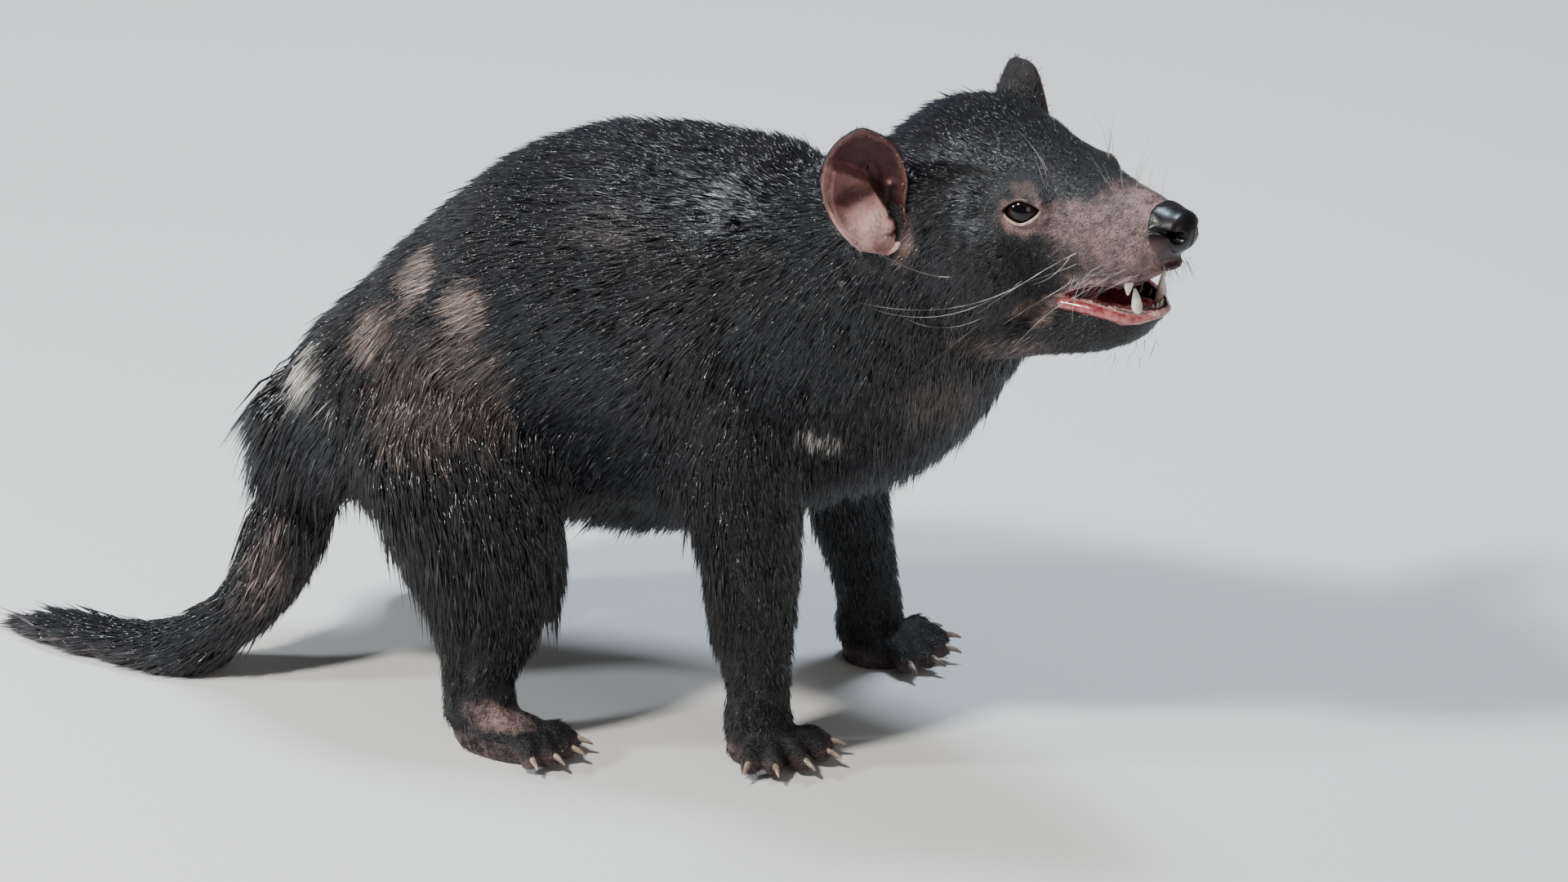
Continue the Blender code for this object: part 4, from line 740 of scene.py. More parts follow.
def makeSkin():
    # The masses in one closed surface, softened; then toes, mouth, lips and lid balls joined to it or cut; all
    # of it remeshed, sunk by the coat's depth, opened at nostrils and lids, and thinned away from the face.
    rounds = skinSettings["rounds"]
    forms = [tube(trunkRows, (0, 0, 1), (0.014, 0.040), upright=True), tube(neckRows, (0, 0, 1), (0.02, 0.03)),
             skullForm(), headForm(tube(headRows(jawSides), (0, 0, 1), (0.01, 0.004), 2.3, upright=True)),
             tube(tailRows, (0, 1, 0), (0.01, 0.003), 2.0)]
    forms += [headForm(ellipsoid(mirrored(place, side), sizes)) for place, sizes in swellings.values()
              for side in (1, -1)]
    legs = [tube(rows, (1, 0, 0), (0.03, 0.012), 2.1) for rows in legRows.values()]
    soles = [form for name in paws for form in pawForms(name)]
    whole = remesh(addMesh("skin", *merge(forms + legs + soles)), skinSettings["voxel"])
    share = bodyShare(readPoints(whole))
    soften(whole, share, rounds["masses"])
    soften(whole, 1 - share, rounds["rest"])
    toes = remesh(addMesh("toes", *merge(legs + soles)), skinSettings["pawVoxel"])
    soften(toes, np.ones(len(toes.data.vertices)), rounds["toes"])
    boolean(toes, floorBlock(skinSettings["ankle"]), "INTERSECT")
    boolean(whole, pawBlocks(), "DIFFERENCE")
    boolean(whole, toes, "UNION")
    boolean(whole, mouthCutter(), "DIFFERENCE")
    for form in lipForms():
        boolean(whole, addMesh("lip", *form), "UNION")
    for side in (1, -1):
        ball = headForm(ellipsoid(mirrored(eyes["place"], side), [eyes["radius"] + eyes["lid"]] * 3))
        boolean(whole, addMesh("lidBall", *ball), "UNION")
    remesh(whole, skinSettings["fineVoxel"])
    points = readPoints(whole)
    nearEye = np.linalg.norm(folded(fromBody(points)) - np.array(eyes["place"]), axis=1)
    ankle = 1 - smoothStep(np.abs(points[:, 2] - skinSettings["ankle"]), 0.002, 0.007)
    soften(whole, np.ones(len(points)), rounds["whole"])
    soften(whole, np.maximum(1 - smoothStep(nearEye, 0.013, 0.017), ankle), rounds["edges"])
    soften(whole, bodyShare(points), rounds["body"])
    print("stage: the skin's surface is smooth")
    points = readPoints(whole)
    points[:, 2] = np.maximum(points[:, 2], 0)
    writePoints(whole, points)
    normals = readNormals(whole)
    depth = coatField(points, normals)["depth"] * (1 - smoothStep(-points[:, 2], -0.020, -0.004))
    depth += skinSettings["earSink"] * (1 - smoothStep(earReach(fromBody(points), 0.014), 0.85, 1.15))
    writePoints(whole, points - normals * depth[:, None])
    for cutter in nostrilCutters(0.0004):
        boolean(whole, cutter, "DIFFERENCE")
    openEyes(whole)
    points = readPoints(whole)
    face, pawTop = skinSettings["face"], skinSettings["pawTop"]
    front = (fromBody(points) - face["place"]) @ turnAbout("y", face["pitch"])[:, 0] + face["behind"]
    body = ((front < 0) | (points[:, 2] < face["above"])) & (points[:, 2] > pawTop)
    thin(whole, body, skinSettings["bodyTriangles"])
    thin(whole, readPoints(whole)[:, 2] < pawTop, skinSettings["pawTriangles"])
    return whole


def openEyes(made):
    # Room for each eyeball, and an almond opening between the lids.
    for side in (1, -1):
        place = mirrored(eyes["place"], side)
        socket = headForm(ellipsoid(place, [eyes["radius"] + eyes["room"]] * 3))
        boolean(made, addMesh("socket", *socket), "DIFFERENCE")
        turn = framed(mirrored(eyes["look"], side), (-0.10, 0, 1))
        long, tall = eyes["opening"]
        rows = [(*(place + turn[:, 0] * out), long * k, tall * k, tall * k)
                for out, k in ((0.002, 1.0), (0.030, 1.3))]
        almond = tube(rows, turn[:, 2], (0.0001, 0.0001), eyes["squareness"], sides=40, step=0.03)
        boolean(made, addMesh("almond", *headForm(almond)), "DIFFERENCE")


skin = makeSkin()
setColours(skin, "markings", markings(readPoints(skin)))
print("stage: the skin has", countTriangles(skin), "triangles")


def addNode(tree, kind, inputs=None, **settings):
    # A shader node with its settings and the values of its sockets, or what they are linked to.
    made = tree.nodes.new("ShaderNode" + kind)
    for name, value in settings.items():
        setattr(made, name, value)
    for name, value in (inputs or {}).items():
        if isinstance(value, bpy.types.NodeSocket):
            tree.links.new(value, made.inputs[name])
        else:
            made.inputs[name].default_value = value
    return made


def mixColours(tree, share, first, second):
    # The first colour at a share of 0 and the second at 1. Each of the three is a value or a link.
    made = addNode(tree, "Mix", data_type="RGBA")
    for place, value in ((0, share), (6, first), (7, second)):
        if isinstance(value, bpy.types.NodeSocket):
            tree.links.new(value, made.inputs[place])
        else:
            made.inputs[place].default_value = value if place == 0 else (*value, 1)
    return made.outputs[2]


def scaled(tree, value, low, high, start=0.0, end=1.0):
    # A number between low and high read as one between start and end, and kept there.
    made = addNode(tree, "MapRange", {"Value": value, "From Min": low, "From Max": high, "To Min": start,
                                      "To Max": end})
    return made.outputs["Result"]


def objectPlace(tree):
    return addNode(tree, "TexCoord").outputs["Object"]


def attributeOf(tree, name):
    return addNode(tree, "Attribute", attribute_name=name)


def channels(tree, colour):
    # A colour's three numbers.
    return addNode(tree, "SeparateColor", {"Color": colour}).outputs


def noiseOf(tree, place, scale, detail=3.0, roughness=0.55):
    return addNode(tree, "TexNoise", {"Vector": place, "Scale": scale, "Detail": detail,
                                      "Roughness": roughness}).outputs["Fac"]


def cellsOf(tree, place, scale):
    # The distance from the nearest edge of a net of small cells.
    cells = addNode(tree, "TexVoronoi", {"Vector": place, "Scale": scale}, feature="DISTANCE_TO_EDGE")
    return cells.outputs["Distance"]


def bumpOf(tree, height, distance, strength=1.0, normal=None):
    inputs = {"Height": height, "Distance": distance, "Strength": strength}
    if normal is not None:
        inputs["Normal"] = normal
    return addNode(tree, "Bump", inputs).outputs["Normal"]


shaderSockets = {"color": "Base Color", "rough": "Roughness", "specular": "Specular IOR Level", "ior": "IOR",
                 "coat": "Coat Weight", "coatRough": "Coat Roughness", "sheen": "Sheen Weight",
                 "sheenRough": "Sheen Roughness", "sheenTint": "Sheen Tint", "soft": "Subsurface Weight",
                 "softScale": "Subsurface Scale"}


def newMaterial(name, **values):
    # A principled material with its constant values set on the shader's own sockets.
    made = bpy.data.materials.new(name)
    made.use_nodes = True
    shader = made.node_tree.nodes["Principled BSDF"]
    for key, value in values.items():
        shader.inputs[shaderSockets[key]].default_value = (*value, 1) if isinstance(value, tuple) else value
    return made, made.node_tree, shader


coatColours = {"black": (0.0050, 0.0042, 0.0048), "brownBlack": (0.0160, 0.0098, 0.0080),
               "worn": (0.330, 0.235, 0.195), "white": (0.72, 0.66, 0.58),
               "onBareSkin": (0.055, 0.034, 0.030), "paleOnBareSkin": (0.30, 0.235, 0.225)}


def coatMaterial():
    # Each tuft's own chance number sets its tone between black and brown-black, and markings set the rest.
    made, tree, shader = newMaterial("glossyBlackCoat", specular=0.78, ior=1.5, sheen=0.03, sheenRough=0.35,
                                     sheenTint=(0.62, 0.74, 1.0))
    bare, worn, white = channels(tree, attributeOf(tree, "markings").outputs["Color"])
    chance = channels(tree, attributeOf(tree, "hair").outputs["Color"])[0]
    broad = scaled(tree, noiseOf(tree, objectPlace(tree), 14.0), 0.42, 0.68)
    tone = addNode(tree, "Math", {0: chance, 1: broad}, operation="MULTIPLY").outputs[0]
    base = mixColours(tree, tone, coatColours["black"], coatColours["brownBlack"])
    fine = mixColours(tree, scaled(tree, chance, 0.55, 0.65), coatColours["onBareSkin"],
                      coatColours["paleOnBareSkin"])
    base = mixColours(tree, scaled(tree, bare, 0.1, 0.9), base, fine)
    uneven = scaled(tree, chance, 0, 1, 0.45, 1.0)
    faded = addNode(tree, "Math", {0: worn, 1: uneven}, operation="MULTIPLY").outputs[0]
    base = mixColours(tree, scaled(tree, faded, 0.08, 0.72), base, coatColours["worn"])
    base = mixColours(tree, scaled(tree, white, 0.25, 0.6), base, coatColours["white"])
    tree.links.new(base, shader.inputs["Base Color"])
    tree.links.new(scaled(tree, chance, 0, 1, 0.15, 0.30), shader.inputs["Roughness"])
    return made


skinColours = {"under": (0.0060, 0.0046, 0.0046), "bare": (0.265, 0.160, 0.146), "bareDark": (0.066, 0.037, 0.037),
               "worn": (0.17, 0.105, 0.082), "white": (0.55, 0.48, 0.42), "wet": (0.110, 0.012, 0.015),
               "wetDeep": (0.022, 0.002, 0.004), "lip": (0.40, 0.095, 0.095), "lipPale": (0.80, 0.50, 0.47)}


def skinMaterial():
    # Dark under the coat, mottled brown pink where it is bare, with fine creases, and wet red in the mouth.
    made, tree, shader = newMaterial("skinUnderCoat", specular=0.45)
    place, marks = objectPlace(tree), attributeOf(tree, "markings")
    bare, worn, white = channels(tree, marks.outputs["Color"])
    lip, wet = (scaled(tree, marks.outputs["Alpha"], low, high) for low, high in ((0.05, 0.45), (0.6, 0.95)))
    mottle = scaled(tree, noiseOf(tree, place, 130.0, 6.0, 0.72), 0.38, 0.60)
    flesh = mixColours(tree, mottle, skinColours["bareDark"], skinColours["bare"])
    base = mixColours(tree, scaled(tree, bare, 0.15, 0.85), skinColours["under"], flesh)
    base = mixColours(tree, scaled(tree, worn, 0.2, 1.0, 0, 0.8), base, skinColours["worn"])
    base = mixColours(tree, white, base, skinColours["white"])
    deep = scaled(tree, noiseOf(tree, place, 170.0, 4.0), 0.38, 0.62)
    base = mixColours(tree, lip, base, mixColours(tree, deep, skinColours["lip"], skinColours["lipPale"]))
    base = mixColours(tree, wet, base, mixColours(tree, deep, skinColours["wetDeep"], skinColours["wet"]))
    tree.links.new(base, shader.inputs["Base Color"])
    tree.links.new(scaled(tree, lip, 0, 1, 0.52, 0.20), shader.inputs["Roughness"])
    cells = cellsOf(tree, place, 620.0)
    creases = scaled(tree, noiseOf(tree, place, 320.0, 4.0, 0.65), 0.30, 0.62)
    normal = bumpOf(tree, creases, 0.0011, 0.9)
    tree.links.new(bumpOf(tree, scaled(tree, cells, 0, 0.25), 0.00035, 0.8, normal), shader.inputs["Normal"])
    return made


def addPiece(made, slot, *replaced):
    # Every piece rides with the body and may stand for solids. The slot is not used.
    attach(made, "root")
    if replaced:
        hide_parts(*replaced)
    return made


skin.data.materials.clear()
skin.data.materials.append(skinMaterial())
addPiece(skin, "coat", "torso", "neck", "head", "lower_jaw", "tail", "foreleg_right", "foreleg_left",
         "hindleg_right", "hindleg_left", "forepaw_right", "forepaw_left", "hindpaw_right", "hindpaw_left")


def makeEyes():
    # A ball whose front bulges a little as a cornea: the radius grows where it faces along the look.
    made, tree, shader = newMaterial("darkWetEye", rough=0.06, specular=0.28, coat=0.2, coatRough=0.02)
    for side, word in ((1, "left"), (-1, "right")):
        points, quads, triangles = ellipsoid((0, 0, 0), (1, 1, 1), segments=72)
        look = unit(mirrored(eyes["look"], side))
        facing = points @ look
        bulge = smoothStep(facing, 0.72, 1.0) * eyes["cornea"]
        ball = points * (eyes["radius"] * (1 + bulge))[:, None] + mirrored(eyes["place"], side)
        eye = addMesh("eyeball_" + word, inHead(ball), quads, triangles)
        ring = 1 - smoothStep(np.abs(facing - 0.80), 0.02, 0.12)
        setColours(eye, "iris", np.stack((smoothStep(facing, 0.90, 0.93), ring, facing * 0.5 + 0.5,
                                          np.ones(len(points))), axis=1))
        eye.data.materials.append(made)
        addPiece(eye, "eye_glass", "eye_" + word)
    pupil, ring, _ = channels(tree, attributeOf(tree, "iris").outputs["Color"])
    fibres = scaled(tree, noiseOf(tree, objectPlace(tree), 900.0), 0.35, 0.65)
    brown = mixColours(tree, fibres, (0.008, 0.0032, 0.0016), (0.022, 0.0085, 0.0040))
    base = mixColours(tree, ring, (0.006, 0.003, 0.003), brown)
    base = mixColours(tree, pupil, base, (0.001, 0.001, 0.0015))
    tree.links.new(base, shader.inputs["Base Color"])


makeEyes()

lidRims = {"radius": 0.00060, "out": 0.0003, "along": 72, "around": 12}    # the last two count its grid


def makeLidRims():
    # A soft roll round each almond opening: its outline, a superellipse, pushed out on to the lid ball.
    forms, pale = [], []
    count, sides = lidRims["along"], lidRims["around"]
    angles = np.linspace(0, 2 * np.pi, count + 1)[:-1]
    around = np.linspace(0, 2 * np.pi, sides + 1)[:-1]
    for side in (1, -1):
        place, turn = mirrored(eyes["place"], side), framed(mirrored(eyes["look"], side), (-0.10, 0, 1))
        long, tall = eyes["opening"]
        y = long * 1.02 * np.sign(np.cos(angles)) * np.abs(np.cos(angles)) ** (2 / eyes["squareness"])
        z = tall * 1.05 * np.sign(np.sin(angles)) * np.abs(np.sin(angles)) ** (2 / eyes["squareness"])
        reach = eyes["radius"] + eyes["lid"] - lidRims["radius"] + lidRims["out"]
        x = np.sqrt(np.maximum(reach**2 - y**2 - z**2, (0.30 * reach) ** 2))
        path = place + np.stack((x, y, z), axis=1) @ turn.T
        out = unit(path - place)
        tangent = unit(np.roll(path, -1, axis=0) - np.roll(path, 1, axis=0))
        across = np.cross(out, tangent)
        thick = lidRims["radius"] * (1 + 0.25 * (np.sin(angles) < 0))
        ring = (path[:, None] + thick[:, None, None] * (np.cos(around)[None, :, None] * out[:, None]
                                                        + np.sin(around)[None, :, None] * across[:, None]))
        quads = gridFaces(count + 1, sides) % (count * sides)
        forms.append(headForm((ring.reshape(-1, 3), quads, np.empty((0, 3), int))))
        # Pale below and at the rear corner, the rim's own pink-white skin; dark above, which is painted shade under
        # the upper lid.
        below = smoothStep(-np.sin(angles) + 0.5 * np.cos(angles) * (1 if side < 0 else -1), -0.2, 0.7)
        pale.append(np.repeat(below, sides))
    rims = addMesh("lid_rims", *merge(forms))
    setColours(rims, "relief", np.concatenate(pale)[:, None] * np.ones(4))
    made, tree, shader = newMaterial("wetLidRim", rough=0.24, specular=0.6)
    mottle = scaled(tree, noiseOf(tree, objectPlace(tree), 500.0), 0.35, 0.65)
    relief = attributeOf(tree, "relief")
    lower = mixColours(tree, mottle, (0.36, 0.22, 0.19), (0.62, 0.44, 0.39))
    # The upper colour is painted shade; the lower is the rim's own pale skin.
    upper = mixColours(tree, mottle, (0.035, 0.020, 0.018), (0.14, 0.078, 0.066))
    tree.links.new(mixColours(tree, relief.outputs["Fac"], upper, lower), shader.inputs["Base Color"])
    tree.links.new(bumpOf(tree, mottle, 0.0002, 0.6), shader.inputs["Normal"])
    rims.data.materials.append(made)
    addPiece(rims, "bare_skin")


makeLidRims()


def makeNose():
    # The tip of the muzzle's own form, cut by a slanting plane, rounded, with nostrils and a groove below.
    pad = boolean(addMesh("nose_pad", *skullForm()), headBlock(*nosePad["block"]), "INTERSECT")
    points, normals = readPoints(pad), readNormals(pad)
    writePoints(pad, points + normals * nosePad["swell"])
    for cutter in nostrilCutters(0.0):
        boolean(pad, cutter, "DIFFERENCE")
    boolean(pad, addMesh("groove", *headForm(ellipsoid(*nosePad["groove"]))), "DIFFERENCE")
    remesh(pad, nosePad["voxel"])
    soften(pad, np.ones(len(pad.data.vertices)), 5)
    made, tree, shader = newMaterial("wetBlackLeather", rough=0.32, specular=0.26, coat=0.10, coatRough=0.06)
    place = objectPlace(tree)
    cells = cellsOf(tree, place, 1150.0)
    tone = scaled(tree, noiseOf(tree, place, 120.0), 0.4, 0.7)
    local = fromBody(readPoints(pad))
    wing = np.exp(-((local[:, 0] - 0.1110) / 0.0060) ** 2 - ((local[:, 2] + 0.0035) / 0.0062) ** 2)
    setColours(pad, "relief", wing[:, None] * np.ones(4))
    black = mixColours(tree, tone, (0.0030, 0.0024, 0.0026), (0.0110, 0.0070, 0.0075))
    pinker = scaled(tree, attributeOf(tree, "relief").outputs["Fac"], 0.25, 1.0)
    tree.links.new(mixColours(tree, pinker, black, (0.085, 0.040, 0.044)), shader.inputs["Base Color"])
    tree.links.new(bumpOf(tree, scaled(tree, cells, 0, 0.3), 0.00010, 0.30), shader.inputs["Normal"])
    pad.data.materials.clear()
    pad.data.materials.append(made)
    addPiece(pad, "nose_pad", "nose")


makeNose()
print("stage: eyes and nose are made")


def bell(y, z, y0, z0, wide, tall):
    # 1 at y0 and z0, falling away as a bell curve in both ways.
    return np.exp(-((y - y0) / wide) ** 2 - ((z - z0) / tall) ** 2)


def earFoldsWithPaintedLight(y, z):
    # At shares y to the front and z up: the relief towards the way the ear faces, in metres, and the skin's tone,
    # which holds painted light. A fold runs across under the deep upper cup; below it stands the pale lower lobe,
    # beside a slit.
    line = np.where(y < 0.125, 0.216 - 0.53 * y, 0.15 - 1.39 * (y - 0.125))
    below = smoothStep(line - z, 0.0, 0.11)
    inner = 1 - smoothStep(np.hypot(y, z), 0.72, 1.0)
    lobe, dip = bell(y, z, -0.08, -0.46, 0.55, 0.27), bell(y, z, -0.35, -0.02, 0.50, 0.10)
    slit, nub = bell(y, z, 0.64, -0.36, 0.10, 0.24), bell(y, z, 0.58, 0.03, 0.10, 0.07)
    pit, crease = bell(y, z, 0.50, -0.41, 0.08, 0.06), bell(y, z, 0.55, -0.66, 0.26, 0.035)
    relief = inner * (0.0072 * below + 0.0036 * lobe - 0.0036 * dip) - 0.0085 * slit + 0.0040 * nub
    relief += -0.0025 * pit - 0.0022 * crease - 0.0045 * bell(y, z, 0.22, 0.12, 0.16, 0.16)
    # In the tone, painted shade darkens the cup's own maroon and darkens the groove above the lobe, the slit, the pit
    # and the crease. Painted highlight lightens the fold's ridge and the rim. The lobes and the nub are the skin's own
    # paler pink.
    tone = 0.07 + 0.45 * below + 0.34 * bell(y, z - line, y, -0.02, 1, 0.055) * (y < 0.16) * (y > -0.75)
    tone += 0.52 * lobe * below - 0.34 * dip - 0.9 * slit + 0.75 * nub - 0.45 * pit - 0.5 * crease
    tone += 0.45 * bell(y, z, 0.55, -0.85, 0.22, 0.14) + 0.16 * smoothStep(np.hypot(y, z), 0.78, 1.0)
    return relief, np.clip(tone, 0, 1)


def earSheets(word):
    # Rings from the rim to the middle of a cup, outside and inside.
    centre, facing, up = ears[word]
    turn = framed(facing, up)
    sides, rings = 160, 56
    angles = np.arange(sides) * 2 * np.pi / sides
    flip = 1 if word == "right" else -1
    shares = np.linspace(1.0, 0.02, rings)[:, None]
    around = np.degrees(np.arctan2(np.sin(angles), np.cos(angles) * flip))
    reach = np.interp(around, *zip(*ears["outline"]))
    reach = sum(np.roll(reach, k) for k in range(-5, 6)) / 11
    reach = reach + 0.010 * np.sin(5 * angles) + 0.008 * np.sin(9 * angles + 1)
    if word == "left":
        reach = reach * (1 + ears["squarerTop"] * np.exp(-((np.abs(around - 90) - 38) / 22) ** 2))
    y, z = shares * np.cos(angles) * reach, shares * np.sin(angles) * reach
    # The tone is the skin's own colour with painted shade and painted highlight from the folds.
    relief, tone = earFoldsWithPaintedLight(y * flip, z)
    bowl = -ears["depth"] * (1 - shares**2.2)
    back = np.stack((bowl - ears["wall"] + 0 * y, ears["halfWidth"] * y, ears["halfHeight"] * z), axis=-1)
    shrink = 1 - 0.055 * smoothStep(shares, 0.8, 1.0)
    roll = 0.0010 * np.exp(-((shares - 0.93) / 0.05) ** 2)
    face = np.stack((bowl + np.maximum(relief, -0.0012) + roll,
                     ears["halfWidth"] * y * shrink, ears["halfHeight"] * z * shrink), axis=-1)
    return [centre + sheet @ turn.T for sheet in (back[::-1], face)], tone, turn


def makeEar(word):
    # Both sheets as one grid, closed at the middle of the back and of the face.
    (back, face), tone, _ = earSheets(word)
    rings, sides = back.shape[:2]
    points = np.concatenate((back, face)).reshape(-1, 3)
    points = np.vstack((points, back[0].mean(axis=0), face[-1].mean(axis=0)))
    ring, last, total = np.arange(sides), (2 * rings - 1) * sides, 2 * rings * sides
    caps = np.vstack((np.stack((np.full(sides, total), (ring + 1) % sides, ring), axis=1),
                      np.stack((np.full(sides, total + 1), last + ring, last + (ring + 1) % sides), axis=1)))
    ear = addMesh("ear_skin_" + word, inHead(points), gridFaces(2 * rings, sides), caps)
    inside = np.concatenate((np.zeros(rings * sides), np.ones(rings * sides), (0, 1)))
    tone = np.concatenate((np.zeros(rings * sides), tone.ravel(), (0, 0.3)))
    # The second channel is the tone, with painted shade in the hollows and painted highlight on the ridge and rim.
    setColours(ear, "relief", np.stack((inside, tone, 0 * tone, np.ones(len(points))), axis=1))
    return ear


def earMaterial():
    # Thin bare skin: its own pink on the lower lobe and the nub, lightened by painted highlight on the fold's ridge
    # and the rim; dark maroon in the hollow, where painted shade darkens its own maroon; black-brown behind.
    made, tree, shader = newMaterial("thinEarSkin", specular=0.35, soft=0.18, softScale=0.003)
    place = objectPlace(tree)
    inside, tone, _ = channels(tree, attributeOf(tree, "relief").outputs["Color"])
    mottle = scaled(tree, noiseOf(tree, place, 210.0, 5.0, 0.7), 0.34, 0.66)
    shadedMaroon = mixColours(tree, mottle, (0.026, 0.009, 0.009), (0.062, 0.021, 0.020))
    middle = mixColours(tree, mottle, (0.150, 0.062, 0.056), (0.26, 0.118, 0.104))
    pink = mixColours(tree, mottle, (0.54, 0.300, 0.265), (0.76, 0.500, 0.450))
    base = mixColours(tree, scaled(tree, tone, 0, 0.5), shadedMaroon, middle)
    base = mixColours(tree, scaled(tree, tone, 0.5, 1.0), base, pink)
    base = mixColours(tree, inside, (0.010, 0.006, 0.006), base)
    tree.links.new(base, shader.inputs["Base Color"])
    tree.links.new(scaled(tree, inside, 0, 1, 0.75, 0.46), shader.inputs["Roughness"])
    tree.links.new(bumpOf(tree, noiseOf(tree, place, 520.0, 5.0, 0.7), 0.0006, 0.8), shader.inputs["Normal"])
    return made


earSkin = earMaterial()
for word in ("right", "left"):
    ear = makeEar(word)
    ear.data.materials.append(earSkin)
    addPiece(ear, "bare_skin", "ear_" + word)
print("stage: ears are made")

# Teeth of the left side in the head's frame: root, aim, bend, length, radius, and the step to the next of
# three where there are more. The canines come first.
teeth = {
    "upper": (((0.0965, 0.0132, -0.0165), (0.10, 0.10, -1), (-0.05, 0, 0), 0.0115, 0.0030, None),
              ((0.1075, 0.0016, -0.0125), (0.15, 0, -1), (0, 0, 0), 0.0060, 0.0013, (-0.0012, 0.0028, 0)),
              ((0.0900, 0.0165, -0.0190), (0, 0, -1), (0, 0, 0), 0.0052, 0.0026, (-0.0075, 0.0022, -0.0015))),
    "lower": (((0.0985, 0.0082, -0.0425), (0.06, 0.16, 1), (-0.07, 0, 0), 0.0158, 0.0031, None),
              ((0.1036, 0.0013, -0.0410), (0.16, 0, 1), (0, 0, 0), 0.0060, 0.0013, (-0.0010, 0.0021, 0)),
              ((0.0900, 0.0140, -0.0420), (0, 0, 1), (0, 0, 0), 0.0058, 0.0022, (-0.0070, 0.0026, 0))),
}


def cone(root, aim, bend, length, radius, up, sides=20):
    # A bent cone: its radius falls with a power of the share of its length, and the bend grows with its square.
    share = np.linspace(0, 1, 9)[:, None]
    path = np.array(root) + unit(aim) * length * share + np.array(bend, float) * length * share**2
    thick = radius * (1 - 0.12 * share - 0.62 * share**2.6)
    return tube(np.hstack((path, thick, thick, thick)), up, (radius * 0.5, radius * 0.30), 2.0, sides, length / 12)


def makeTeeth():
    # Each row's teeth on both sides, each a little shorter than the one before.
    forms = []
    for rows in teeth.values():
        for root, aim, bend, length, radius, step in rows:
            for k in range(3 if step else 1):
                for side in (1, -1):
                    place = mirrored(np.array(root) + k * np.array(step or (0, 0, 0)), side)
                    forms.append(headForm(cone(place, mirrored(aim, side), bend, length * (1 - 0.04 * k), radius,
                                               (1, 0, 0))))
    made = addMesh("teeth", *merge(forms))
    material, tree, shader = newMaterial("ivoryTooth", rough=0.22, specular=0.55, soft=0.08, softScale=0.002)
    tone = scaled(tree, noiseOf(tree, objectPlace(tree), 260.0), 0.35, 0.7)
    tree.links.new(mixColours(tree, tone, (0.78, 0.72, 0.61), (0.60, 0.50, 0.37)), shader.inputs["Base Color"])
    tree.links.new(bumpOf(tree, tone, 0.0002, 0.5), shader.inputs["Normal"])
    made.data.materials.append(material)
    addPiece(made, "teeth_and_claws")


tongueRows = ((0.058, 0, -0.0400, 0.0108, 0.0038, 0.0030), (0.072, 0, -0.0410, 0.0122, 0.0043, 0.0030),
              (0.086, 0, -0.0405, 0.0108, 0.0038, 0.0030), (0.096, 0, -0.0385, 0.0068, 0.0024, 0.0020))
gumPaths = (((0.0660, 0.0225, -0.0245), (0.0825, 0.0187, -0.0200), (0.0900, 0.0165, -0.0185),
             (0.0985, 0.0122, -0.0160), (0.1045, 0.0072, -0.0132), (0.1070, 0, -0.0122)),
            ((0.0660, 0.0238, -0.0370), (0.0825, 0.0205, -0.0378), (0.0900, 0.0178, -0.0392),
             (0.0995, 0.0112, -0.0412), (0.1040, 0.0056, -0.0400), (0.1056, 0, -0.0396)))


def makeMouth():
    # Gums are rolls along the teeth's roots, thicker between them, and the tongue has a groove down its middle.
    forms = []
    for path in gumPaths:
        whole = [mirrored(place, -1) for place in path[:-1]] + [np.array(place) for place in path[::-1]]
        thick = [0.0024 + 0.0003 * math.cos(7 * k) for k in range(len(whole))]
        rows = [(*place, wide, wide, wide) for place, wide in zip(whole, thick)]
        forms.append(headForm(tube(rows, (0, 0, 1), (0.001, 0.001), 2.0, sides=20, step=0.0012)))
    points, quads, triangles = tube(tongueRows, (0, 0, 1), (0.004, 0.003), 2.2, sides=40, step=0.0015)
    points[:, 2] -= 0.0011 * np.exp(-(points[:, 1] / 0.0016) ** 2) * (points[:, 2] > -0.0400)
    tongue = addMesh("tongue_flesh", inHead(points), quads, triangles)
    gums = addMesh("gums", *merge(forms))
    for made, name, tones, replaced in (
            (tongue, "wetTongue", ((0.46, 0.085, 0.085), (0.30, 0.035, 0.040)), ("tongue",)),
            (gums, "wetGum", ((0.50, 0.16, 0.155), (0.24, 0.035, 0.042)), ())):
        material, tree, shader = newMaterial(name, rough=0.16, specular=0.6, coat=0.5, coatRough=0.08)
        place = objectPlace(tree)
        tone = scaled(tree, noiseOf(tree, place, 300.0), 0.35, 0.65)
        tree.links.new(mixColours(tree, tone, *tones), shader.inputs["Base Color"])
        tree.links.new(bumpOf(tree, noiseOf(tree, place, 900.0), 0.0003, 0.7), shader.inputs["Normal"])
        made.data.materials.append(material)
        addPiece(made, "wet_mouth", *replaced)


claw = {"length": 0.0100, "radius": 0.0017, "lift": 0.0014, "aim": 0.12, "bend": -0.34}


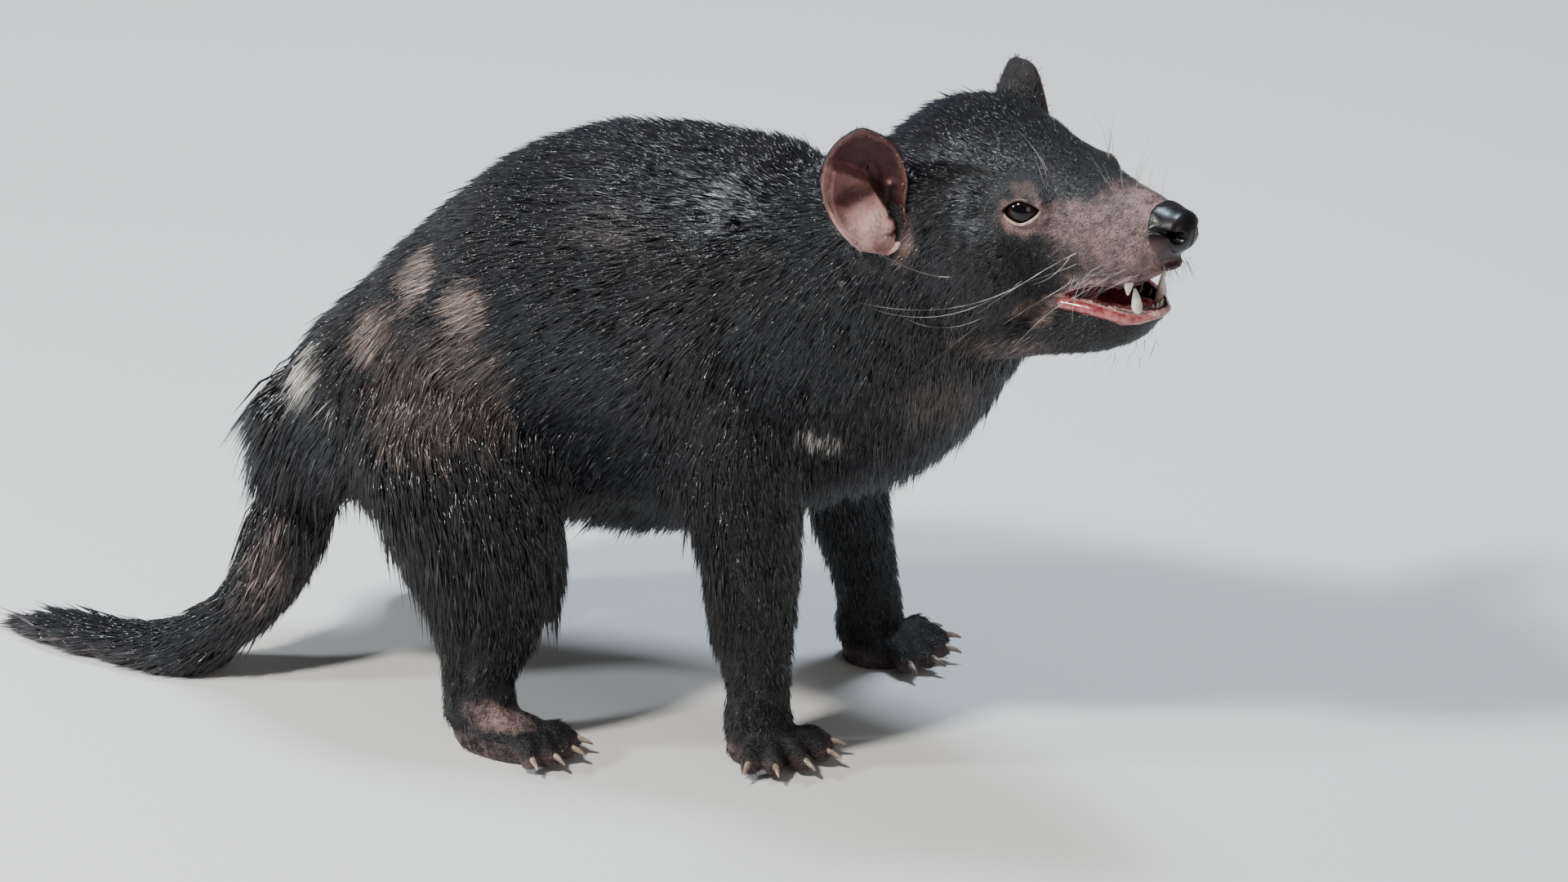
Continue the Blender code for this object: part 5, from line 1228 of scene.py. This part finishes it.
def makeClaws():
    # A bent cone at the end of every toe, aimed a little up and bent down.
    forms = []
    for paw, (x, y), heading in paws.values():
        turn = turnAbout("z", heading)
        for angle, share in zip(paw["spread"], paw["lengths"]):
            path = toePath(paw, angle, share)
            out = unit(path[2] - path[1])
            points, quads, triangles = cone(path[2] + (0, 0, claw["lift"]), (out[0], out[1], claw["aim"]),
                                            (0, 0, claw["bend"]), claw["length"], claw["radius"], (0, 0, 1))
            forms.append((points @ turn.T + (x, y, 0), quads, triangles))
    made = addMesh("claws", *merge(forms))
    material, tree, shader = newMaterial("paleHorn", rough=0.30, specular=0.5)
    place = objectPlace(tree)
    tone = scaled(tree, noiseOf(tree, place, 240.0), 0.35, 0.65)
    tree.links.new(mixColours(tree, tone, (0.34, 0.26, 0.20), (0.13, 0.085, 0.065)), shader.inputs["Base Color"])
    tree.links.new(bumpOf(tree, noiseOf(tree, place, 700.0), 0.0002, 0.5), shader.inputs["Normal"])
    made.data.materials.append(material)
    addPiece(made, "teeth_and_claws")


makeTeeth()
makeMouth()
makeClaws()
print("stage: mouth, teeth and claws are made")

# Coat pieces: the forms that each covers, with the left edge and width of their share of its map, the angles
# that it covers, and how many long and short tufts it has.
quarter = math.pi / 2
coatPieces = {
    "coat_back_right": ((("trunk", 0, 1),), (quarter, math.pi), 7200, 20000),
    "coat_flank_right": ((("trunk", 0, 1),), (-math.pi, -quarter), 7400, 21000),
    "coat_back_left": ((("trunk", 0, 1),), (0, quarter), 6100, 15600),
    "coat_flank_left": ((("trunk", 0, 1),), (-quarter, 0), 6100, 15600),
    "coat_neck_right": ((("neck", 0, 1),), None, 5200, 16000),
    "coat_neck_left": ((("neck", 0, 1),), None, 4200, 12000),
    "coat_head_right": ((("skull", 0, 1),), None, 4000, 31000),
    "coat_head_left": ((("skull", 0, 1),), None, 3200, 24000),
    "coat_jaw": ((("jaw", 0, 1),), None, 1200, 10500),
    "coat_tail": ((("tail", 0, 1),), None, 4200, 7000),
    "coat_foreleg_right": ((("forelegRight", 0, 0.7), ("forepawRight", 0.74, 0.26)), None, 2600, 12000),
    "coat_foreleg_left": ((("forelegLeft", 0, 0.7), ("forepawLeft", 0.74, 0.26)), None, 2200, 10000),
    "coat_hindleg_right": ((("hindlegRight", 0, 0.7), ("hindpawRight", 0.74, 0.26)), None, 4600, 12000),
    "coat_hindleg_left": ((("hindlegLeft", 0, 0.7), ("hindpawLeft", 0.74, 0.26)), None, 3400, 8600),
}
tufts = {
    "perClump": 6, "perShortClump": 3,    # tufts in a clump, and where the hair is shorter than "shortHair"
    "shortHair": 0.011,
    "sink": 0.0012,                       # how deep a root is
    "turn": 0.13, "clumpTurn": 0.07, "swirl": 0.10,    # how unevenly the tufts and clumps lie
    "strays": 0.03,                       # share of tufts that stand out
    "lift": 0.0004,                       # the lowest height of a tip
    "patchSize": 0.003,                   # of a tuft on the map
}
# A tuft's rings with their shares and widths, then its faces: long ones bend, short ones are straight, and all
# are closed.
tuftShapes = {
    "long": (((0.0, 0.8), (0.5, 1.0), (1.0, 0.0)), ((0, 1, 4, 3), (1, 2, 5, 4), (2, 0, 3, 5)),
             ((3, 4, 6), (4, 5, 6), (5, 3, 6), (0, 2, 1))),
    "short": (((0.0, 1.0), (1.0, 0.0)), (), ((0, 1, 3), (1, 2, 3), (2, 0, 3), (0, 2, 1))),
}


def skinTriangles():
    # The skin's triangles as arrays: corners, middle, area, and the mean of the corners' normals.
    corners, points, normals = readTriangles(skin), readPoints(skin), readNormals(skin)
    a, b, c = (points[corners[:, k]] for k in range(3))
    area = np.linalg.norm(np.cross(b - a, c - a), axis=1) / 2
    return corners, points, normals, (a + b + c) / 3, area


corners, skinPoints, skinNormals, middles, areas = skinTriangles()
middleNormals = unit(skinNormals[corners].sum(axis=1))
middleField = coatField(middles, middleNormals)
middleMarks = markings(middles)
formNames = list(coatForms)


def hairShare():
    # How densely each triangle of the skin is haired: not at all in the mouth, on lids, lips and soles.
    share = (1 - 0.45 * smoothStep(middleMarks[:, 0], 0.25, 0.9)) * (1 - smoothStep(middleMarks[:, 3], 0.1, 0.35))
    local = fromBody(middles)
    share *= smoothStep(np.linalg.norm(folded(local) - np.array(eyes["place"]), axis=1), 0.0112, 0.0125)
    edge, above, below = lipDistance(local)
    share *= np.where((local[:, 0] > 0.060) & (np.abs(local[:, 1]) < 0.04), smoothStep(edge, 0.0012, 0.0030), 1.0)
    share *= np.where((local[:, 0] > 0.064) & (above > 0) & (below > 0), 0.0, 1.0)
    tip = (local - np.array(nosePad["block"][0])) @ turnAbout("y", nosePad["block"][2])
    share *= (tip[:, 0] < -nosePad["block"][1][0] - 0.0005) | (np.abs(local[:, 2]) > 0.05)
    share *= ~((middles[:, 2] < 0.0035) & (middleNormals[:, 2] < -0.3))
    return share * smoothStep(earReach(local), 0.92, 1.06)


shares = hairShare()


def shapeTufts(draw, kind, root, normal, lie, field, perClump, spacing):
    # Each tuft is a three-sided sliver: its middle line leaves the skin, runs along the lie, rises by a parabola
    # to the coat's depth, droops with the square of its length, and leans to its clump's middle towards its tip.
    def each(values):
        return np.repeat(values, perClump, axis=0)

    clumps = len(root)
    total = clumps * perClump
    normal, lie = each(normal), unit(each(lie) + draw.normal(0, tufts["turn"], (total, 3)))
    lie = unit(lie - (lie * normal).sum(-1, keepdims=True) * normal)
    side = np.cross(normal, lie)
    radius, turn = np.sqrt(draw.uniform(0, 1, total)), draw.uniform(0, 2 * np.pi, total)
    offset = 0.75 * spacing * radius[:, None] * (np.cos(turn)[:, None] * lie + np.sin(turn)[:, None] * side)
    length = each(field["length"] * draw.uniform(0.85, 1.12, clumps)) * draw.uniform(0.72, 1.12, total)
    depth = each(field["depth"]) * draw.uniform(0.40, 0.97, total)
    if kind == "short":
        length, depth = length * 0.82, depth * 0.85
    depth += (draw.uniform(0, 1, total) < tufts["strays"]) * draw.uniform(0.06, 0.20, total) * length
    depth += 0.10 * length * each(field["droop"])
    clump, droop = each(field["clump"]), each(field["droop"]) * length
    start = each(root) + offset - normal * tufts["sink"]
    width = (0.00010 + 0.024 * length) * draw.uniform(0.75, 1.2, total) * (1.15 if kind == "short" else 1.0)
    roll = draw.normal(0, 0.5, total)[:, None]
    flat, rise = side * np.cos(roll) + normal * np.sin(roll), normal * np.cos(roll) - side * np.sin(roll)
    rings = []
    for s, thick in tuftShapes[kind][0]:
        climb = (depth + tufts["sink"]) * (1.45 * s - 0.45 * s * s)
        middle = (start + lie * (length * s)[:, None] + normal * climb[:, None]
                  - offset * (clump * s**1.2)[:, None] - np.array([0, 0, 1.0]) * (droop * s * s)[:, None])
        w = (width * thick)[:, None]
        rings += [middle + flat * w, middle + rise * w * 0.75, middle - flat * w] if thick else [middle]
    points = np.stack(rings, axis=1)
    points[..., 2] = np.maximum(points[..., 2], tufts["lift"])
    return points


def growTufts(chosen, kind, count, seed):
    # Clumps of tufts on chosen triangles, picked by haired area, with a slow swirl in their lie.
    draw = np.random.default_rng(seed)
    weight = areas[chosen] * shares[chosen]
    isLong = middleField["length"][chosen].mean() > tufts["shortHair"]
    perClump = tufts["perClump" if isLong else "perShortClump"]
    clumps = max(1, count // perClump)
    spacing = math.sqrt(weight.sum() / clumps)
    picked = draw.choice(chosen, clumps, p=weight / weight.sum())
    mix = draw.dirichlet((1, 1, 1), clumps)[..., None]
    root = (skinPoints[corners[picked]] * mix).sum(axis=1)
    normal = unit((skinNormals[corners[picked]] * mix).sum(axis=1))
    field = coatField(root, normal)
    lie = field["lie"] + tufts["swirl"] * np.stack([ripple(root, 55, k + 11) for k in range(3)], axis=1)
    lie = unit(lie + draw.normal(0, tufts["clumpTurn"], (clumps, 3)))
    points = shapeTufts(draw, kind, root, normal, lie, field, perClump, spacing)
    seen = markings(root + field["lie"] * field["length"][:, None] * 0.45)
    seen[:, 0] = markings(root)[:, 0]
    return {"kind": kind, "points": points, "marks": np.repeat(seen, perClump, axis=0),
            "chance": draw.uniform(0, 1, len(points)),
            "spots": np.repeat(np.stack((field["share"], field["angle"]), axis=1), perClump, axis=0)}


def addCoat(name, batches, material):
    # Joins batches of tufts in one mesh, with their markings and their places on the skin's own unwrap, which
    # has the share along a form for its width and the angle round it for its height.
    points, quads, triangles, marks, hair, spots = [], [], [], [], [], []
    first = 0
    for batch in batches:
        rings, fours, threes = tuftShapes[batch["kind"]]
        count, size = batch["points"].shape[:2]
        step = first + (np.arange(count) * size)[:, None, None]
        points.append(batch["points"].reshape(-1, 3))
        if fours:
            quads.append((np.array(fours)[None] + step).reshape(-1, 4))
        triangles.append((np.array(threes)[None] + step).reshape(-1, 3))
        along = np.concatenate([[s] * (3 if thick else 1) for s, thick in rings])
        across = np.concatenate([(0, 0.5, 1) if thick else (0.5,) for s, thick in rings])
        marks.append(np.repeat(batch["marks"], size, axis=0))
        hair.append(np.stack((np.repeat(batch["chance"], size), np.tile(along, count), np.tile(across, count),
                              np.ones(count * size)), axis=1))
        patchSize = tufts["patchSize"]
        own = batch["spots"][:, None] * (1 - patchSize) + patchSize * np.stack((along, across), axis=1)
        spots.append(own.reshape(-1, 2))
        first += count * size
    faceSets = ([np.concatenate(quads)] if quads else []) + [np.concatenate(triangles)]
    made = addMesh(name, np.concatenate(points), *faceSets)
    setColours(made, "markings", np.concatenate(marks))
    setColours(made, "hair", np.concatenate(hair))
    corner = np.empty(len(made.data.loops), np.int32)
    made.data.loops.foreach_get("vertex_index", corner)
    places = np.concatenate(spots)[corner].astype(np.float32)
    made.data.uv_layers.new(name="OFBake").data.foreach_set("uv", places.ravel())
    made.data.materials.append(material)
    addPiece(made, "coat")
    return sum(len(batch["points"]) for batch in batches)


coat = coatMaterial()
tuftTotal = 0
for seed, (name, (forms, angles, *wanted)) in enumerate(coatPieces.items()):
    low, high = angles or (-math.pi, math.pi)
    sideOfHead = -1 if name.endswith("right") else 1
    batches, sections = [], []
    for form, left, width in forms:
        chosen = (middleField["owner"] == formNames.index(form)) & (shares > 0.01)
        chosen &= (middleField["angle"] >= low) & (middleField["angle"] <= high)
        if form in ("neck", "skull"):
            chosen &= (fromBody(middles)[:, 1] * sideOfHead) > 0
        chosen = np.flatnonzero(chosen)
        weight = (areas * shares)[chosen].sum() / middleField["length"][chosen].mean()
        sections.append((left, width, chosen, weight))
    whole = sum(section[-1] for section in sections)
    for k, (left, width, chosen, weight) in enumerate(sections):
        for kind, count in zip(("long", "short"), wanted):
            count = int(count * weight / whole / (1))
            batch = growTufts(chosen, kind, count, 100 + 10 * seed + k)
            along, around = batch["spots"].T
            batch["spots"] = np.stack((left + width * along, np.clip((around - low) / (high - low), 0, 1)), axis=1)
            batches.append(batch)
    tuftTotal += addCoat(name, batches, coat)


earFur = {"right": 2300, "left": 3300, "backShare": 0.80, "faceShare": 0.20, "length": 0.0064,
          "tipLength": 0.0024, "innerLength": 0.0030, "perClump": 3, "spacing": 0.0012}


def growEarFur(word, count, seed):
    # Short fur on an ear's back, lying up to its tip; inside, fine pale hairs on the lower lobe and the rim.
    draw = np.random.default_rng(seed)
    (back, face), _, turn = earSheets(word)
    batches = []
    for sheet, share, outward in ((back, earFur["backShare"], -1), (face, earFur["faceShare"], 1)):
        normals = np.cross((np.roll(sheet, -1, axis=1) - np.roll(sheet, 1, axis=1)) / 2, np.gradient(sheet, axis=0))
        weight = np.linalg.norm(normals, axis=2)
        normals = unit(normals)
        normals *= np.sign((normals @ turn[:, 0]).mean()) * outward
        spots = (sheet - ears[word][0]) @ turn
        y, z = spots[..., 1] / ears["halfWidth"], spots[..., 2] / ears["halfHeight"]
        rim = smoothStep(np.hypot(y, z), 0.84, 0.92)
        if outward < 0:
            weight = weight * smoothStep(z, -0.85, -0.5)
        else:
            weight = weight * (np.exp(-((z + 0.5) / 0.28) ** 2 - (y / 0.7) ** 2) * 0.8 + 0.5 * rim)
        perClump = earFur["perClump"]
        clumps = int(count * share / perClump)
        picked = draw.choice(weight.size, clumps, p=weight.ravel() / weight.sum())
        root = sheet.reshape(-1, 3)[picked] + draw.normal(0, 0.0003, (clumps, 3))
        y, z, rim = y.ravel()[picked, None], z.ravel()[picked, None], rim.ravel()[picked, None]
        outwards = unit(y * turn[:, 1] * 0.8 + z * turn[:, 2])
        lie = turn[:, 2] + 0.6 * outwards if outward < 0 else rim * outwards - (1 - rim) * turn[:, 2]
        normal = normals.reshape(-1, 3)[picked] @ headAxes.T
        lie = lie @ headAxes.T
        lie = unit(lie - (lie * normal).sum(-1, keepdims=True) * normal)
        shorter = (earFur["length"] - earFur["tipLength"]) * smoothStep(z[:, 0], 0.35, 0.85)
        long = draw.uniform(0.9, 1.1, clumps) * (earFur["length"] - shorter if outward < 0 else earFur["innerLength"])
        field = {"length": long, "depth": long * (0.22 if outward < 0 else 0.10), "clump": np.full(clumps, 0.3),
                 "droop": np.zeros(clumps)}
        root = inHead(root) + normal * 0.0006
        points = shapeTufts(draw, "short", root, normal, lie, field, perClump, earFur["spacing"])
        marks = np.tile((1.0, 0, 0.45, 0), (len(points), 1)) if outward > 0 else np.zeros((len(points), 4))
        spot = np.hstack((0.25 + 0.2 * y + (outward > 0) * 0.5, 0.5 + 0.45 * z))
        chance = draw.uniform(0 if outward < 0 else 0.6, 1, len(points))
        batches.append({"kind": "short", "points": points, "marks": marks, "chance": chance,
                        "spots": np.repeat(spot, perClump, axis=0)})
    return batches


for k, word in enumerate(("right", "left")):
    tuftTotal += addCoat("coat_ear_" + word, growEarFur(word, earFur[word], 900 + k), coat)
print("stage: the coat has", tuftTotal, "tufts")

# Whiskers of the left side in the head's frame. Long ones are drawn through three places, with a thickness.
# The rest are sown: middle of the roots, spread of the roots, aim, bend, length, count.
whiskers = {
    "drawn": (((0.0269, 0.0545, -0.0239), (0.0088, 0.0700, -0.0180), (-0.0220, 0.0830, 0.0002), 0.00034),
             ((0.0767, 0.0290, -0.0091), (0.0700, 0.0540, -0.0148), (0.0513, 0.0700, -0.0317), 0.00024),
             ((0.1004, 0.0235, -0.0075), (0.0892, 0.0400, -0.0138), (0.0892, 0.0500, -0.0330), 0.00022),
             ((0.0755, 0.0300, -0.0102), (0.0761, 0.0440, -0.0153), (0.0729, 0.0560, -0.0171), 0.00020),
             ((0.0612, 0.0380, -0.0209), (0.0326, 0.0640, -0.0365), (-0.0091, 0.0820, -0.0384), 0.00025),
             ((0.0531, 0.0410, -0.0260), (0.0264, 0.0620, -0.0424), (-0.0050, 0.0780, -0.0416), 0.00022),
             ((0.0476, 0.0400, -0.0358), (0.0281, 0.0580, -0.0489), (0.0073, 0.0730, -0.0431), 0.00018),
             ((0.0373, 0.0420, -0.0458), (0.0315, 0.0550, -0.0536), (0.0186, 0.0680, -0.0680), 0.00018),
             ((0.0851, 0.0270, -0.0158), (0.0716, 0.0480, -0.0273), (0.0532, 0.0600, -0.0426), 0.00020),
             ((0.0732, 0.0300, -0.0328), (0.0671, 0.0420, -0.0397), (0.0561, 0.0500, -0.0549), 0.00018)),
    "radius": 0.00015,
    "lip": ((0.0940, 0.0190, -0.0130), (0.0120, 0.0030, 0.0050), (-0.55, 0.80, -0.40), (-0.45, -0.2, -0.25),
            0.026, 11),
    "lipEdge": ((0.0850, 0.0270, -0.0215), (0.0120, 0.0030, 0.0015), (-0.25, 0.45, -0.90), (-0.35, -0.2, 0.0),
                0.008, 10),
    "brow": ((0.0600, 0.0230, 0.0185), (0.0050, 0.0020, 0.0015), (-0.15, 0.25, 0.95), (-0.30, 0.0, -0.10), 0.030, 4),
    "bridge": ((0.0900, 0.0060, 0.0145), (0.0110, 0.0040, 0.0015), (-0.05, 0.20, 0.95), (0.10, 0.10, -0.10), 0.032, 6),
    "chin": ((0.0850, 0.0120, -0.0600), (0.0160, 0.0060, 0.0020), (-0.10, 0.15, -0.95), (-0.30, 0.0, 0.10), 0.012, 10),
    "noseFront": ((0.1150, 0.0050, -0.0140), (0.0030, 0.0040, 0.0010), (0.45, 0.20, -0.85), (-0.20, 0.0, 0.0),
                  0.012, 10),
}


def whiskerForm(root, slope, curve, thick):
    # A five-sided tube whose radius falls to a point, on a line that bends with the square of its length.
    rings, sides = 12, 5
    share = np.linspace(0, 1, rings)[:, None]
    path = root + slope * (share - 0.04) + curve * share**2
    tangent = unit(slope + 2 * curve * share)
    flat = unit(np.cross(tangent, (0.1, 0.2, 1)))
    upward = np.cross(tangent, flat)
    angles = np.arange(sides)[None, :, None] * 2 * np.pi / sides
    radius = (thick * (1 - 0.90 * share))[:, None]
    points = path[:, None] + (np.cos(angles) * flat[:, None] + np.sin(angles) * upward[:, None]) * radius
    last = (rings - 1) * sides
    fan = ([(0, k, k + 1) for k in range(1, sides - 1)]
           + [(last, last + k + 1, last + k) for k in range(1, sides - 1)])
    return inHead(points.reshape(-1, 3)), gridFaces(rings, sides), np.array(fan)


def makeWhiskers():
    # Drawn ones first: a parabola through the three places, a little uneven on the far side. Then the sown.
    draw = np.random.default_rng(77)
    forms = []
    for root, middle, tip, thick in whiskers["drawn"]:
        for side in (1, -1):
            a, b, c = (mirrored(place, side) for place in (root, middle, tip))
            if side > 0:
                b, c = b + draw.normal(0, 0.003, 3), c + draw.normal(0, 0.006, 3)
            forms.append(whiskerForm(a, 4 * b - 3 * a - c, 2 * a + 2 * c - 4 * b, thick))
    for name, row in whiskers.items():
        if name in ("radius", "drawn"):
            continue
        middle, spread, aim, bend, length, count = row
        for side in (1, -1):
            for _ in range(count):
                root = mirrored(np.array(middle) + draw.uniform(-1, 1, 3) * spread, side)
                long = length * draw.uniform(0.55, 1.1)
                slope = unit(mirrored(np.array(aim) + draw.normal(0, 0.16, 3), side)) * long
                curve = mirrored(np.array(bend) + draw.normal(0, 0.12, 3), side) * long
                forms.append(whiskerForm(root, slope, curve, whiskers["radius"] * (0.55 + 0.45 * long / length)))
    made = addMesh("whiskers", *merge(forms))
    material, tree, shader = newMaterial("paleWhisker", rough=0.34, specular=0.5)
    tone = scaled(tree, noiseOf(tree, objectPlace(tree), 60.0), 0.42, 0.58)
    tree.links.new(mixColours(tree, tone, (0.55, 0.50, 0.46), (0.10, 0.080, 0.074)), shader.inputs["Base Color"])
    made.data.materials.append(material)
    addPiece(made, "coat")


makeWhiskers()
print("stage: whiskers are made")

# The stage and the camera. The camera stands level with the picture's middle, 20 degrees to the model's front.
studio = {
    "turn": 20, "rise": 22, "distance": 10.0, "depth": 0.10, "middle": (0.08834, 0.11094),
    "pixelsPerMetre": 2650, "pictureWidth": 1920, "sensor": 36,
    "floor": (0.66, 0.645, 0.62), "floorDrop": 0.0002, "floorRings": (0.05, 2, 40),
    "room": (0.86, 0.90, 0.95), "roomStrength": 0.20, "lampsAimAt": (0.05, 0, 0.15),
    # Lamps: place, size, power, colour.
    "lamps": {"key": ((-0.85, -1.35, 2.20), 0.32, 84, (1.0, 0.975, 0.94)),
              "glints": ((-2.05, -1.00, 1.15), 0.25, 50, (0.84, 0.92, 1.0)),
              "sky": ((0.15, 0.60, 2.20), 0.50, 52, (0.72, 0.85, 1.0)),
              "front": ((1.90, -1.30, 0.95), 1.0, 8, (1.0, 0.97, 0.94))},
}


def lookAt(made, place, target):
    # Puts a camera or lamp at a place, turned to a target.
    made.location = place
    made.rotation_mode = "QUATERNION"
    made.rotation_quaternion = (Vector(target) - Vector(place)).to_track_quat("-Z", "Y")


def makeStudio():
    # The camera far away with a long lens, a wide floor, lamps and a pale room.
    turn, rise = math.radians(studio["turn"]), math.radians(studio["rise"])
    right = np.array([math.cos(turn), math.sin(turn), 0])
    up = np.array([-math.sin(turn) * math.sin(rise), math.cos(turn) * math.sin(rise), math.cos(rise)])
    back = np.array([math.sin(turn) * math.cos(rise), -math.cos(turn) * math.cos(rise), math.sin(rise)])
    target = right * studio["middle"][0] + up * studio["middle"][1] + bodyShift
    lens = bpy.data.cameras.new("camera")
    lens.sensor_width = studio["sensor"]
    lens.lens = studio["sensor"] * studio["distance"] / (studio["pictureWidth"] / studio["pixelsPerMetre"])
    lens.clip_end = 100
    camera = bpy.data.objects.new("camera", lens)
    bpy.context.collection.objects.link(camera)
    lookAt(camera, target + back * (studio["distance"] + studio["depth"]), target)
    bpy.context.scene.camera = camera
    # A disc of floor, wide enough to reach behind every view.
    sides, radii = 96, np.array(studio["floorRings"])[:, None]
    ring = np.arange(sides)
    angles = ring * 2 * np.pi / sides
    flat = np.stack((radii * np.cos(angles), radii * np.sin(angles), 0 * radii + 0 * angles), axis=-1)
    points = np.vstack((flat.reshape(-1, 3), (0, 0, 0))) - (0, 0, studio["floorDrop"]) - bodyShift * (1, 1, 0)
    fan = np.stack((np.full(sides, len(points) - 1), ring, (ring + 1) % sides), axis=1)
    floor = addMesh("floor", points, gridFaces(len(radii), sides)[:, ::-1], fan)
    floor.data.materials.append(newMaterial("paleFloor", rough=0.85, specular=0.2, color=studio["floor"])[0])
    for name, (place, size, power, colour) in studio["lamps"].items():
        lamp = bpy.data.lights.new(name, "AREA")
        lamp.size, lamp.energy, lamp.color = size, power, colour
        made = bpy.data.objects.new(name, lamp)
        bpy.context.collection.objects.link(made)
        made.visible_camera = False
        lookAt(made, place, studio["lampsAimAt"])
    world = bpy.data.worlds.new("paleRoom")
    world.use_nodes = True
    background = world.node_tree.nodes["Background"]
    background.inputs["Color"].default_value = (*studio["room"], 1)
    background.inputs["Strength"].default_value = studio["roomStrength"]
    bpy.context.scene.world = world


makeStudio()
